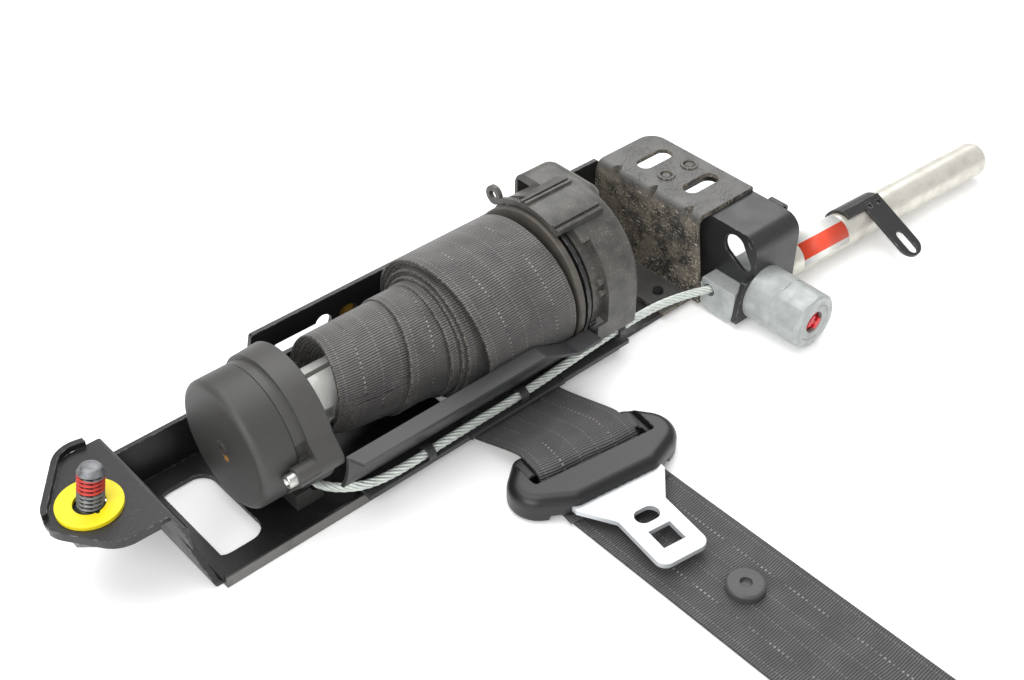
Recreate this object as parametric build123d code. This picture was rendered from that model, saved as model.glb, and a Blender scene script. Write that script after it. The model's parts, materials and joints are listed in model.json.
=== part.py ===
from build123d import *
import os
from math import atan2, cos, degrees, pi, radians, sin, sqrt, tan

# Seat-belt retractor with a wire-rope pretensioner, its webbing and its tongue.
# Millimetres. +X runs along the channel, from the bolt plate to the tube. +Y runs away
# from the side that the webbing leaves by. +Z is up, and z = 0 is the surface it lies on.

# Base channel, pressed from one sheet
sheet = 2.0
channel_length = 249.0
channel_width = 67.0
near_wall_height = 5.0
near_wall_end = channel_length - 49.0
trimmed_edge = 3.0
far_wall_height = 44.5
far_step_height = 35.8
far_low_height = 22.0
far_low_end = 38.0
far_step_start = 52.0
far_step_end = 58.0
far_overhang = 5.0
bend_radius = 3.0
end_window = (3.0, 26.0, 12.0, channel_width - 12.0)
roll_window = (119.5, 178.0, 12.5, channel_width - 17.0)
window_corner = 7.0
keyhole_start = 67.5
keyhole_end = 93.5
keyhole_low = 27.5
keyhole_high = 34.5
keyhole_eye_radius = 4.0
lookout_start = 101.5
lookout_length = 8.5

# Arm and bolt plate at the channel's left end
arm_near_edge = 3.0
arm_far_edge = channel_width - 5.0
arm_taper = 15.0
arm_lean = 8.6
plate_top = 36.5
plate_left = 47.5
rim_height = 2.6
rim_width = 2.4
lip_depth = 1.6
bolt_x = -29.0
bolt_y = channel_width / 2 + 0.5
bolt_hole_radius = 6.5
far_lobe = (-20.5, channel_width - 14.0, 11.5)
near_lobe = (-24.0, 24.0, 12.8)
left_lobe = (-33.4, channel_width / 2 + 2.0, 11.8)

# Anchor bolt, which leans in its oversize hole, and its retaining washer
bolt_radius = 4.9
bolt_neck_radius = 4.4
bolt_neck_top = 6.4
bolt_lean = 12.0
bolt_thread_top = 51.8
dog_radius = 4.1
dog_length = 3.0
bolt_flange_radius = 9.5
bolt_flange_thickness = 2.4
bolt_hex_across = 15.0
bolt_hex_height = 6.5
bolt_seat_gap = 2.3
washer_radius = 12.0
washer_hole_radius = 5.9
washer_thickness = 1.5
washer_notch = 1.6

# Spool, which fills the channel: it leans out over the near wall and clears the far flange
spool_overhang = 3.4
roll_to_flange = 2.4
flange_radius = (channel_width + spool_overhang - sheet - roll_to_flange) / 2
axis_y = flange_radius - spool_overhang
axis_z = flange_radius + 1.6

# Housing at the left end of the spool
cap_start = 21.9
cap_end = 37.3
cap_radius = flange_radius - 6.6
cap_wall = 2.0
cap_edge = 3.0
cap_boss_radius = 3.0
cap_boss_hole = 1.2
joint_gap = 0.2
collar_step = 42.0
collar_end = 52.4
collar_radius_at_step = cap_radius + 1.6
collar_radius = cap_radius + 2.2
collar_inner_radius = cap_radius + 0.4
collar_web = 2.0
clip_window_width = 4.5
clip_window_height = 6.0
clip_window_x = 39.8
clip_window_angle = 168.0
foot_near = 12.5
foot_far = channel_width - 20.0
lug_radius = 4.2
screw_radius = 2.7
screw_angle = 182.0
screw_circle = cap_radius + 3.1
screw_head = 3.0
screw_shank_radius = 1.6
screw_shank = 9.0
screw_start = 29.5
lug_start = screw_start + screw_head + 0.6

# Spool, with its bearings
shaft_radius = 6.0
running_gap = 0.05
bush_wall = 2.0
bush_flange = 2.5
arbor_radius = 4.0
spring_strip = 0.5
spring_turns = 9
spring_width = 9.0
core_radius = 12.0
core_start = 55.0
core_notch = 4.0
roll_end = 170.4
flange_start = 172.0
flange_thickness = 3.2
roll_radius = flange_radius - 0.3
# Each coil of the webbing roll: its radius and its left edge on the near and far sides
coils = (
    (roll_radius * 0.673, 64.0, 74.6), (roll_radius * 0.734, 97.0, 104.0), (roll_radius * 0.78, 112.0, 117.0),
    (roll_radius * 0.841, 119.0, 122.5), (roll_radius, 123.4, 124.4),
)

# Cable drum inside the collar
rope_radius = 1.9
rope_floor = axis_z - cap_radius + 1.8
rope_wound_x = 45.5
rope_lane_x = 49.4
drum_start = 42.7
drum_end = 52.2
drum_flange = 0.8
drum_flange_radius = cap_radius - 0.2
rope_clearance = 0.3
rope_port_gap = 1.0

# Lock mechanism at the right end of the spool
side_plate_start = 177.0
side_plate_thickness = 1.8
ratchet_start = 184.0
ratchet_thickness = 4.0
ratchet_radius = flange_radius - 11.0
ratchet_root = ratchet_radius - 3.0
ratchet_teeth = 24
pawl_angle = 212.0
pawl_circle = flange_radius - 6.0
pawl_boss = 3.6
pawl_pin_radius = 1.8
pawl_swing = 12.0
control_disc_start = 193.0
control_disc_thickness = 1.6
control_disc_radius = flange_radius * 13 / 33
control_disc_root = control_disc_radius - 1.2
shaft_end = 199.0

# Mechanism cover
cover_start = 181.0
cover_end = 205.0
recess_end = 186.5
recess_depth = 3.6
recess_from = 118.0
recess_to = 197.0
catch_width = 3.0
catch_angle = 12.0
cover_radius = flange_radius + 1.5
cover_wall = 1.8
cover_bottom = 8.0
near_skirt_low = 17.5
near_skirt_end = 4.0
saddle_start = 173.5
saddle_radius = cover_radius + 1.7
saddle_from = 80.0
saddle_to = 118.0
ridge = 1.2
hump_end = 214.0
hump_near = axis_y - 4.6
hump_far = channel_width - 7.0
hump_top = axis_z + flange_radius - 1.6
hump_corner = 7.0
eyelet_angle = 54.0
eyelet_circle = saddle_radius + 2.0
eyelet_radius = 4.2
eyelet_hole = 2.0
eyelet_thickness = 2.0

# Car-movement sensor under the spool's end
sensor_start = 190.4
sensor_length = 12.4
sensor_half_width = 8.0
sensor_floor = 2.0
ball_radius = 4.8
cup_radius = 7.0
lever_thickness = 1.2
lever_low = sheet + sensor_floor + 2 * ball_radius + 0.3
lever_reach = axis_z - control_disc_radius - 0.4

# Webbing guard along the near side of the roll
guard_start = 52.6
guard_slant = 3.0
guard_low_start = 62.0
guard_low_corner = 16.0
guard_end = 176.0
guard_radius = flange_radius + 1.0
guard_wall = 1.6
guard_top_angle = 176.0
guard_bottom_angle = 236.0
ledge_top = axis_z + 0.1
ledge_thickness = 1.6
ledge_width = 6.0
ledge_drop_start = 145.0
ledge_drop_end = 163.0
ledge_low = ledge_top - 7.9
tray_low = 5.3
tray_high = 7.3
tray_near = -4.0
tray_far = 2.6
clip_positions = (92.0, 141.0, 198.0)
clip_width = 3.4
clip_wall = 1.0
clip_gap = 0.35

# Webbing, tongue and stop button
strap_width = 47.0
strap_start = 114.0
strap_thickness = 1.2
strap_leaves = axis_y - 11.6
strap_bend = 2.0
strap_front_end = 226.0
mouth_start = 112.2
mouth_end = 162.8
mouth_bar = 2.3
mouth_near = -5.0
mouth_far = 3.0
tongue_x = 138.5
tongue_y = -45.0
tongue_turn = -8.5
tongue_half_length = 38.0
tongue_rear = 15.0
tongue_front = 18.5
tongue_top = 11.5
tongue_bottom = 3.2
tongue_crown = 4.6
tongue_foot = 1.6
wing_radius = 12.0
wing_bottom = 0.4
front_half = 17.0
front_radius = 6.0
rear_radius = 6.0
bar_top = 8.4
slot_rear = 3.5
slot_front = 2.6
slot_half_length = 26.5
bar_half_length = slot_half_length + 1.8
blade_width = 22.5
blade_length = 41.0
shoulder_width = 42.0
shoulder_length = 5.0
neck_length = 14.0
plate_thickness = 2.2
plate_low = 5.2
plate_tail = 8.0
plate_hole_length = 10.5
plate_hole_width = 7.0
plate_hole_at = 17.0
latch_width = 10.0
latch_length = 9.5
latch_at = 29.0
button_x = 138.0
button_y = -125.0
button_radius = 7.5
button_top = 4.5
button_hole = 2.3
button_stud = 2.0
stud_gap = 0.05
end_plate_length = 48.0
end_plate_width = 30.0
end_plate_thickness = 3.0
end_plate_hole = 6.0
end_loop_bar = 5.0

# End bracket
wall_start = channel_length - sheet
wall_near = 1.5
wall_far = channel_width - sheet - 0.3
wall_near_low = -2.7
plate_near_edge = 3.2
bracket_top = far_wall_height + 0.5
bracket_end = wall_start + 37.0
bracket_foot = 18.0
bracket_bend = 5.0
bracket_corner = 8.0
dart_positions = (10.5, 32.0, 54.0)
dart_width = 4.2
dart_length = 15.0
dart_rib = 2.4
slot_length = 20.0
slot_width = 8.0
slot_centres = ((wall_start + 21.0, channel_width - 19.0), (wall_start + 22.0, 20.6))
dimple_centres = ((wall_start + 15.0, channel_width / 2 + 1.5), (wall_start + 29.0, channel_width / 2 + 0.5))
dimple_radius = 4.0
dimple_height = 0.7
rivet_radius = 2.4
rivet_head = 1.4
rivet_spacing = 16.0

# Generator bracket
saddle_sheet = 2.5
generator_near = -24.7
generator_start = wall_start + 9.0
generator_end = bracket_end
generator_bend = 8.0
saddle_far = channel_width - 26.0
face_lobe = wall_start - 1.0
face_low = 3.0
cheek_low = 17.5
cheek_far = 13.0
cheek_step = -2.7
cheek_foot = 6.0
cheek_sheet = 1.8
pear_hole = ((-12.2, 34.4, 5.6), (-18.6, 28.0, 3.5))
ear_y = -9.5
ear_length = 8.0
ear_radius = 3.0
ear_wall = 1.1

# Generator: zinc body, barrel, cartridge and plug
body_start = wall_start + 0.5
body_end = wall_start + 29.0
body_near = -21.9
body_far = -3.0
body_low = 1.0
body_high = 20.2
body_nose_high = 17.2
chamber_radius = 6.2
chamber_y = -11.4
chamber_z = 9.8
chamber_wall = 3.0
rope_port_radius = 3.0
barrel_x = wall_start + 16.0
barrel_z = 13.5
barrel_radius = 12.9
barrel_end = -54.0
barrel_flats = 8
barrel_flat_length = 16.0
barrel_neck = 8.6
barrel_bore = 8.0
cartridge_radius = 7.9
plug_radius = 5.4
plug_recess = 3.0

# Pretensioner tube, with its piston
tube_radius = 8.5
tube_inner_radius = 7.3
tube_z = 10.1
tube_y_at_start = -13.0
tube_start = wall_start + 27.0
tube_length = 151.0
tube_yaw = -3.16
tube_crimp = 6.0
nub_radius = 2.6
nub_length = 2.6
piston_from_start = 24.0
piston_length = 12.0
piston_radius = 7.25
seal_radius = 7.25
seal_width = 2.4
ferrule_radius = 3.6
ferrule_length = 9.0

# Tube clamp
clamp_at = 67.4
clamp_width = 24.0
clamp_wall = 1.5
clamp_gap = 0.05
clamp_tilt = 24.0
clamp_back = 4.5
clamp_arm_width = 12.4
clamp_arm_length = 30.8
clamp_slot_length = 13.0
clamp_slot_width = 5.2
clamp_slot_back = 1.5
lance_spacing = 6.0
lance_width = 2.2
lance_length = 3.4
lance_y = 1.2

# Wire rope: its route, chosen by hand, from the drum to the ferrule
rope_route = (
    (rope_lane_x, axis_y, rope_floor), (rope_lane_x, 20.5, rope_floor), (50.0, 9.5, rope_floor),
    (61.6, -0.4, rope_floor), (77.0, -2.7, rope_floor), (105.0, -1.6, rope_floor),
    (141.0, -2.0, 10.4), (180.0, -0.6, 12.0), (wall_start - 31.0, 0.0, 13.2),
    (wall_start - 11.0, -3.2, 12.8), (wall_start + 5.0, -8.6, 12.0), (wall_start + 20.0, -12.2, 10.6),
    (wall_start + 33.0, -13.33, tube_z), (wall_start + 43.8, -13.93, tube_z),
)


def box(x0, x1, y0, y1, z0, z1):
    """A block between six planes."""
    return Pos((x0 + x1) / 2, (y0 + y1) / 2, (z0 + z1) / 2) * Box(x1 - x0, y1 - y0, z1 - z0)


def outline(points, radius=0.0):
    """A closed outline, with every corner rounded alike."""
    face = make_face(Polyline(*points, close=True))
    return fillet(face.vertices(), radius) if radius else face


def along_x(face, x0, x1):
    """A profile drawn in Y and Z, between two planes across the channel."""
    return extrude(Plane.YZ.offset(x0) * face, x1 - x0)


def along_y(face, y0, y1):
    """A profile drawn in X and Z, between two planes along the channel."""
    return extrude(Plane.XZ.offset(-y1) * face, y1 - y0)


def along_z(face, z0, z1):
    """A profile drawn in X and Y, between two heights."""
    return extrude(Plane.XY.offset(z0) * face, z1 - z0)


def rod_x(x0, x1, radius, y=axis_y, z=axis_z):
    """A round bar along X, on the spool's axis unless it is told otherwise."""
    return Pos((x0 + x1) / 2, y, z) * Rot(0, 90, 0) * Cylinder(radius, x1 - x0)


def rod_y(y0, y1, radius, x, z):
    """A round bar along Y."""
    return Pos(x, (y0 + y1) / 2, z) * Rot(90, 0, 0) * Cylinder(radius, y1 - y0)


def rod_z(z0, z1, radius, x, y):
    """An upright round bar."""
    return Pos(x, y, (z0 + z1) / 2) * Cylinder(radius, z1 - z0)


def polar(radius, angle):
    """The place about the spool's axis, in Y and Z, at an angle counted from +Y."""
    return (axis_y + radius * cos(radians(angle)), axis_z + radius * sin(radians(angle)))


def ring_sector(inner, outer, start, end, x0, x1):
    """Part of a tube about the spool's axis, between two angles."""
    middle = (start + end) / 2
    lines = [
        ThreePointArc(polar(inner, start), polar(inner, middle), polar(inner, end)),
        Line(polar(inner, end), polar(outer, end)),
        ThreePointArc(polar(outer, end), polar(outer, middle), polar(outer, start)),
        Line(polar(outer, start), polar(inner, start)),
    ]
    return along_x(make_face(lines), x0, x1)


def tube_place(distance, across=0.0, up=0.0):
    """A place on the pretensioner tube, measured from its start."""
    return Pos(tube_start, tube_y_at_start, tube_z) * Rot(0, 0, tube_yaw) * Pos(distance, across, up)


def tube_rod(start, length, radius):
    """A round bar on the tube's axis."""
    return tube_place(start + length / 2) * Rot(0, 90, 0) * Cylinder(radius, length)


def tongue_place():
    """The tongue's own frame: its X runs along the bar, its -Y along the blade."""
    return Pos(tongue_x, tongue_y, 0) * Rot(0, 0, tongue_turn)


def slot_outline(x, y, length, width):
    """A round-ended slot that runs along X."""
    return Pos(x, y) * SlotOverall(length, width)


def bolt_plate_outline():
    """The bolt plate seen from above: round lobes that run into the arm."""
    root = Pos(-arm_lean - 1, (arm_near_edge + 8 + arm_far_edge) / 2) * Rectangle(
        2, arm_far_edge - arm_near_edge - 8)
    lobes = [Pos(x, y) * Circle(radius) for x, y, radius in (far_lobe, near_lobe, left_lobe)]
    return make_hull(ShapeList(edge for part in (root, *lobes) for edge in part.edges()))


def arm():
    """The leaning arm and its bolt plate, folded from the channel's own sheet."""
    under = plate_top - sheet
    run = arm_lean * under / plate_top
    profile = outline([
        (6, 0), (-bend_radius, 0), (-bend_radius - run, under), (-plate_left, under),
        (-plate_left, plate_top), (-bend_radius - run + sheet, plate_top),
        (-bend_radius + sheet, sheet), (6, sheet),
    ])
    corners = profile.vertices().filter_by(lambda v: -20 < v.X < 0)
    profile = fillet(corners, sheet * 0.8)
    folded = along_y(profile, arm_near_edge, arm_far_edge)
    side = box(-bend_radius - arm_lean, 6, arm_near_edge, arm_far_edge, 0, plate_top)
    plate = along_z(bolt_plate_outline(), 0, plate_top + 1)
    folded = folded & (side + plate)
    taper = along_x(outline([
        (arm_near_edge - 1, sheet), (arm_near_edge, sheet), (arm_near_edge + arm_taper, under),
        (arm_near_edge - 1, under),
    ]), -bend_radius - run * 0.7, 6)
    edge = bolt_plate_outline() - offset(bolt_plate_outline(), -rim_width)
    bend_edge = -bend_radius - run - 4
    rim = along_z(edge, plate_top, plate_top + rim_height)
    rim = rim & box(-plate_left, bend_edge, bolt_y + 4, channel_width, 0, plate_top + rim_height)
    lip = along_z(edge, under - lip_depth, under)
    lip = lip & box(-plate_left, bend_edge, 0, bolt_y, 0, plate_top)
    return folded - taper + rim + lip - rod_z(0, plate_top + 5, bolt_hole_radius, bolt_x, bolt_y)


def far_flange():
    """The high wall on the far side, with its keyhole and its look-out window."""
    face = outline([
        (-far_overhang, 0), (-far_overhang, far_low_height), (far_low_end, far_low_height),
        (far_step_start, far_step_height), (far_step_end, far_step_height),
        (far_step_end + 2, far_wall_height), (channel_length, far_wall_height), (channel_length, 0),
    ])
    face = fillet(face.vertices().filter_by(lambda v: v.Y > 1), 1.2)
    middle = (keyhole_low + keyhole_high) / 2
    width = keyhole_high - keyhole_low
    keyhole = slot_outline((keyhole_start + keyhole_end) / 2, middle, keyhole_end - keyhole_start, width)
    eye = Pos(keyhole_end, keyhole_high - 1.5) * Circle(keyhole_eye_radius)
    lookout = slot_outline(lookout_start + lookout_length / 2, middle + 1.5, lookout_length, width)
    face = face - keyhole - eye - lookout
    return along_y(face, channel_width - sheet, channel_width)


def window(limits):
    """A cut with rounded corners through the channel's floor."""
    x0, x1, y0, y1 = limits
    return along_z(outline([(x0, y0), (x1, y0), (x1, y1), (x0, y1)], window_corner), -1, sheet + 1)


def base_channel():
    """The pressed channel: floor, near wall, far flange, arm and bolt plate."""
    floor = box(0, channel_length, 0, channel_width, 0, sheet)
    floor = floor - window(end_window) - window(roll_window)
    floor = floor - box(near_wall_end, channel_length + 1, -1, trimmed_edge, -1, sheet + 1)
    wall = box(0, near_wall_end, 0, sheet, 0, near_wall_height)
    wall = wall - box(mouth_start, mouth_end, -1, sheet + 1, sheet, near_wall_height + 1)
    edge = wall.edges().filter_by(Axis.X).group_by(Axis.Z)[-1]
    wall = fillet(edge, sheet * 0.3)
    return floor + wall + far_flange() + arm()


def bolt_place():
    """The bolt's own frame: up its leaning axis from the middle of the plate."""
    return Pos(bolt_x, bolt_y, plate_top - sheet / 2) * Rot(0, bolt_lean, 0)


def anchor_bolt():
    """Flanged hexagon bolt with a plain dog point."""
    head_top = -sheet / 2 - bolt_seat_gap
    shank_top = (bolt_thread_top - plate_top) / cos(radians(bolt_lean))
    parts = [
        Pos(0, 0, (shank_top + bolt_neck_top) / 2) * Cylinder(bolt_radius, shank_top - bolt_neck_top),
        Pos(0, 0, (bolt_neck_top + head_top) / 2) * Cylinder(bolt_neck_radius, bolt_neck_top - head_top),
        Pos(0, 0, shank_top + dog_length / 2) * Cylinder(dog_radius, dog_length),
        Pos(0, 0, head_top - bolt_flange_thickness / 2)
        * Cylinder(bolt_flange_radius, bolt_flange_thickness),
        extrude(Plane.XY.offset(head_top - bolt_flange_thickness)
                * RegularPolygon(bolt_hex_across / 2, 6, major_radius=False), -bolt_hex_height),
    ]
    bolt = parts[0] + parts[1] + parts[2] + parts[3] + parts[4]
    shoulder = bolt.edges().filter_by(GeomType.CIRCLE).sort_by(Axis.Z)
    bolt = chamfer(shoulder[-1], 0.8)
    return bolt_place() * bolt


def bolt_washer():
    """Plastic retaining washer with two notches in its hole."""
    ring = Circle(washer_radius) - Circle(washer_hole_radius)
    for side in (-1, 1):
        ring = ring - Pos(0, side * washer_hole_radius) * Circle(washer_notch / 2)
    return Pos(bolt_x, bolt_y, 0) * extrude(Plane.XY.offset(plate_top) * ring, washer_thickness)


def spring_cap():
    """Round cap over the return spring."""
    shell = rod_x(cap_start, cap_end, cap_radius)
    rim = shell.edges().filter_by(GeomType.CIRCLE).sort_by(Axis.X)[0]
    shell = fillet(rim, cap_edge)
    shell = shell - rod_x(cap_start + cap_wall, cap_end + 1, cap_radius - cap_wall)
    boss = rod_x(cap_start - 0.6, cap_start + cap_wall, cap_boss_radius)
    return shell + boss - rod_x(cap_start - 1, cap_start + cap_wall + 1, cap_boss_hole)


def drum_collar():
    """The stepped collar round the cable drum, with its foot, lugs and rope port."""
    start = cap_end + joint_gap
    ring = rod_x(start, collar_step, cap_radius)
    taper = Pos((collar_step + collar_end) / 2, axis_y, axis_z) * Rot(0, 90, 0) * Cone(
        collar_radius_at_step, collar_radius, collar_end - collar_step)
    foot = box(collar_step - 2, collar_end, foot_near, foot_far, sheet, axis_z - collar_inner_radius + 2)
    body = ring + taper + foot
    for angle in (screw_angle, screw_angle - 180):
        y, z = polar(screw_circle, angle)
        web = make_hull(ShapeList([
            Pos(axis_y, axis_z) * Edge.make_circle(cap_radius), Pos(y, z) * Edge.make_circle(lug_radius)]))
        lower = web & Pos(y, z - channel_width) * Rectangle(4 * lug_radius, 2 * channel_width)
        body = body + along_x(web, collar_step, collar_end) + along_x(lower, lug_start, collar_end)
        body = body + rod_x(lug_start, collar_end - 1, lug_radius - 0.2, y, z)
    body = body - rod_x(start + collar_web, collar_step + 1, cap_radius - cap_wall)
    body = body - rod_x(collar_step + 0.5, collar_end + 1, collar_inner_radius)
    body = body - rod_x(start - 1, collar_end, shaft_radius + running_gap + bush_wall)
    for angle in (screw_angle, screw_angle - 180):
        y, z = polar(screw_circle, angle)
        body = body - rod_x(screw_start, screw_start + screw_head + screw_shank, screw_shank_radius, y, z)
    port = rod_y(0, axis_y - 4, rope_radius + rope_port_gap, rope_lane_x + 0.3, rope_floor)
    y, z = polar(cap_radius, clip_window_angle)
    clip = Pos(clip_window_x, y, z) * Rot(clip_window_angle, 0, 0) * Box(clip_window_width, 2.4, clip_window_height)
    cap_space = rod_x(cap_start, start, cap_radius + 0.3)
    return body - port - clip - cap_space


def housing_screws():
    """Socket screws that hold the cap and collar together."""
    screws = []
    for angle in (screw_angle, screw_angle - 180):
        y, z = polar(screw_circle, angle)
        head = rod_x(screw_start, screw_start + screw_head, screw_radius, y, z)
        socket = Pos(screw_start, y, z) * Rot(0, 90, 0) * extrude(RegularPolygon(1.4, 6), 1.8)
        shank = rod_x(screw_start + screw_head, screw_start + screw_head + screw_shank,
                      screw_shank_radius, y, z)
        screws.append(head + shank - socket)
    return screws


def return_spring():
    """Flat spiral spring, hooked to the cap at its outer end."""
    inner = arbor_radius + 1.0
    outer = cap_radius - cap_wall - 0.6
    steps = spring_turns * 8
    points = []
    for i in range(steps + 1):
        share = i / steps
        radius = inner + (outer - inner) * share
        points.append(polar(radius, 360 * spring_turns * share))
    line = Spline(*points)
    strip = trace(line, spring_strip)
    middle = (cap_start + cap_wall + cap_end) / 2
    return along_x(strip, middle - spring_width / 2, middle + spring_width / 2)


def spring_arbor():
    """The slotted end of the spool shaft, which winds the spring."""
    bar = rod_x(cap_start + cap_wall + 1, cap_end - 1, arbor_radius)
    return bar - box(cap_start, cap_end - 4, axis_y - 0.6, axis_y + 0.6, 0, axis_z * 2)


def shaft_bushes():
    """Plastic bushes that carry the spool at both ends."""
    bushes = []
    left = cap_end + joint_gap
    right = side_plate_start
    for start, web in ((left, collar_web), (right, side_plate_thickness)):
        ring = rod_x(start, start + web + 1, shaft_radius + running_gap + bush_wall - 0.02)
        lip = rod_x(start + web, start + web + 1, shaft_radius + running_gap + bush_wall + bush_flange)
        bushes.append(ring + lip - rod_x(start - 1, start + web + 2, shaft_radius + running_gap))
    return bushes


def cable_drum():
    """Grooved drum for two lanes of wire rope, free on the spool shaft."""
    rope_circle = axis_z - rope_floor
    hub = rod_x(drum_start, drum_end, rope_circle - rope_radius - rope_clearance)
    for x0 in (drum_start, drum_end - drum_flange):
        hub = hub + rod_x(x0, x0 + drum_flange, drum_flange_radius)
    for i in range(6):
        y, z = polar(15.0, 60 * i)
        hub = hub - rod_x(drum_start + 2, drum_end + 1, 4.2, y, z)
    return hub - rod_x(drum_start - 1, drum_end + 1, shaft_radius + running_gap)


def drum_cable():
    """The turn of wire rope that lies on the drum."""
    ring = Rot(0, 90, 0) * Torus(axis_z - rope_floor, rope_radius)
    return Pos(rope_wound_x, axis_y, axis_z) * ring


def spool_core():
    """Cast core with its shaft."""
    shaft = rod_x(cap_end - 1, shaft_end, shaft_radius)
    core = rod_x(core_start, flange_start, core_radius)
    notch = box(core_start - 1, core_start + 9, axis_y - core_radius, axis_y - core_radius + core_notch,
                axis_z - 3, axis_z + 3)
    groove = box(core_start + 4, flange_start, axis_y - 1.2, axis_y + 1.2, axis_z + 6, axis_z + 20)
    return shaft + core - notch - groove


def webbing_roll():
    """The wound webbing, whose turns have slipped along the core in steps."""
    roll = None
    for radius, near, far in coils:
        coil = rod_x(near - 2, roll_end, radius)
        turn = degrees(atan2(far - near, 2 * radius))
        knife = Box(roll_end, 4 * flange_radius, 4 * flange_radius, align=(Align.MAX, Align.CENTER, Align.CENTER))
        coil = coil - Pos((near + far) / 2, axis_y, axis_z) * Rot(0, 0, -turn) * knife
        roll = coil if roll is None else roll + coil
    return roll - rod_x(0, roll_end + 1, core_radius + running_gap)


def spool_flange():
    """Thin disc that stops the webbing at the right end."""
    disc = rod_x(flange_start, flange_start + flange_thickness, flange_radius)
    rims = disc.edges().filter_by(GeomType.CIRCLE)
    disc = fillet(rims, 0.8)
    return disc - rod_x(flange_start - 1, flange_start + 5, shaft_radius + running_gap)


def toothed_disc(start, thickness, outer, root, teeth):
    """Saw-toothed disc on the spool shaft: steep faces point clockwise."""
    pitch = 360 / teeth
    points = []
    for i in range(teeth):
        points.append(polar(root, i * pitch))
        points.append(polar(outer, i * pitch))
    disc = along_x(outline(points), start, start + thickness)
    return disc - rod_x(start - 1, start + thickness + 1, shaft_radius + running_gap)


def ratchet_wheel():
    """Steel locking wheel."""
    wheel = toothed_disc(ratchet_start, ratchet_thickness, ratchet_radius, ratchet_root, ratchet_teeth)
    for i in range(6):
        y, z = polar(12.5, 60 * i)
        wheel = wheel - rod_x(ratchet_start - 1, ratchet_start + 5, 2.6, y, z)
    return wheel


def control_disc():
    """Small toothed disc over the sensor's lever."""
    return toothed_disc(control_disc_start, control_disc_thickness, control_disc_radius,
                        control_disc_root, ratchet_teeth)


def pawl_pivot():
    """Where the pawl turns, in Y and Z."""
    return polar(pawl_circle, pawl_angle)


def locking_pawl():
    """Pawl drawn where it locks, then swung back clear of the wheel."""
    pitch = 360 / ratchet_teeth
    tooth = round((pawl_angle + 29) / pitch) * pitch
    nose = [
        polar(ratchet_root + 0.9, tooth - 1.2), polar(ratchet_radius + 0.2, tooth - 1.2),
        polar(ratchet_radius + 4.6, tooth - 5), polar(pawl_circle + 3.0, pawl_angle + 2),
        polar(pawl_circle - 2.6, pawl_angle + 6), polar(ratchet_radius + 0.6, tooth - 9.0),
    ]
    y, z = pawl_pivot()
    face = outline(nose) + Pos(y, z) * Circle(pawl_boss)
    face = face - Pos(y, z) * Circle(pawl_pin_radius + running_gap)
    swung = Pos(y, z) * Rot(0, 0, -pawl_swing) * Pos(-y, -z) * face
    return along_x(swung, ratchet_start, ratchet_start + ratchet_thickness)


def pawl_pin():
    """Pin from the side plate through the pawl."""
    y, z = pawl_pivot()
    pin = rod_x(side_plate_start + side_plate_thickness, ratchet_start + ratchet_thickness + 1.5,
                pawl_pin_radius, y, z)
    return pin + rod_x(side_plate_start + side_plate_thickness, ratchet_start - 0.3, 3.0, y, z)


def side_plate():
    """Steel plate that carries the spool's right-hand bush."""
    face = Pos(axis_y, axis_z) * Circle(cover_radius - cover_wall - 0.5)
    half = cover_radius - cover_wall - 0.5
    face = face + Pos(axis_y, (axis_z + sheet) / 2) * Rectangle(2 * half - 12, axis_z - sheet)
    plate = along_x(face, side_plate_start, side_plate_start + side_plate_thickness)
    return plate - rod_x(side_plate_start - 1, side_plate_start + 5, shaft_radius + running_gap + bush_wall)


def cover_profile(inset=0.0):
    """The cover's outline in Y and Z: a round top on straight sides."""
    radius = cover_radius - inset
    low = cover_bottom - (1 if inset else 0)
    lines = [
        ThreePointArc(polar(radius, 0), polar(radius, 90), polar(radius, 180)),
        Line(polar(radius, 180), (axis_y - radius, low)),
        Line((axis_y - radius, low), (axis_y + radius, low)),
        Line((axis_y + radius, low), polar(radius, 0)),
    ]
    return make_face(lines)


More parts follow.
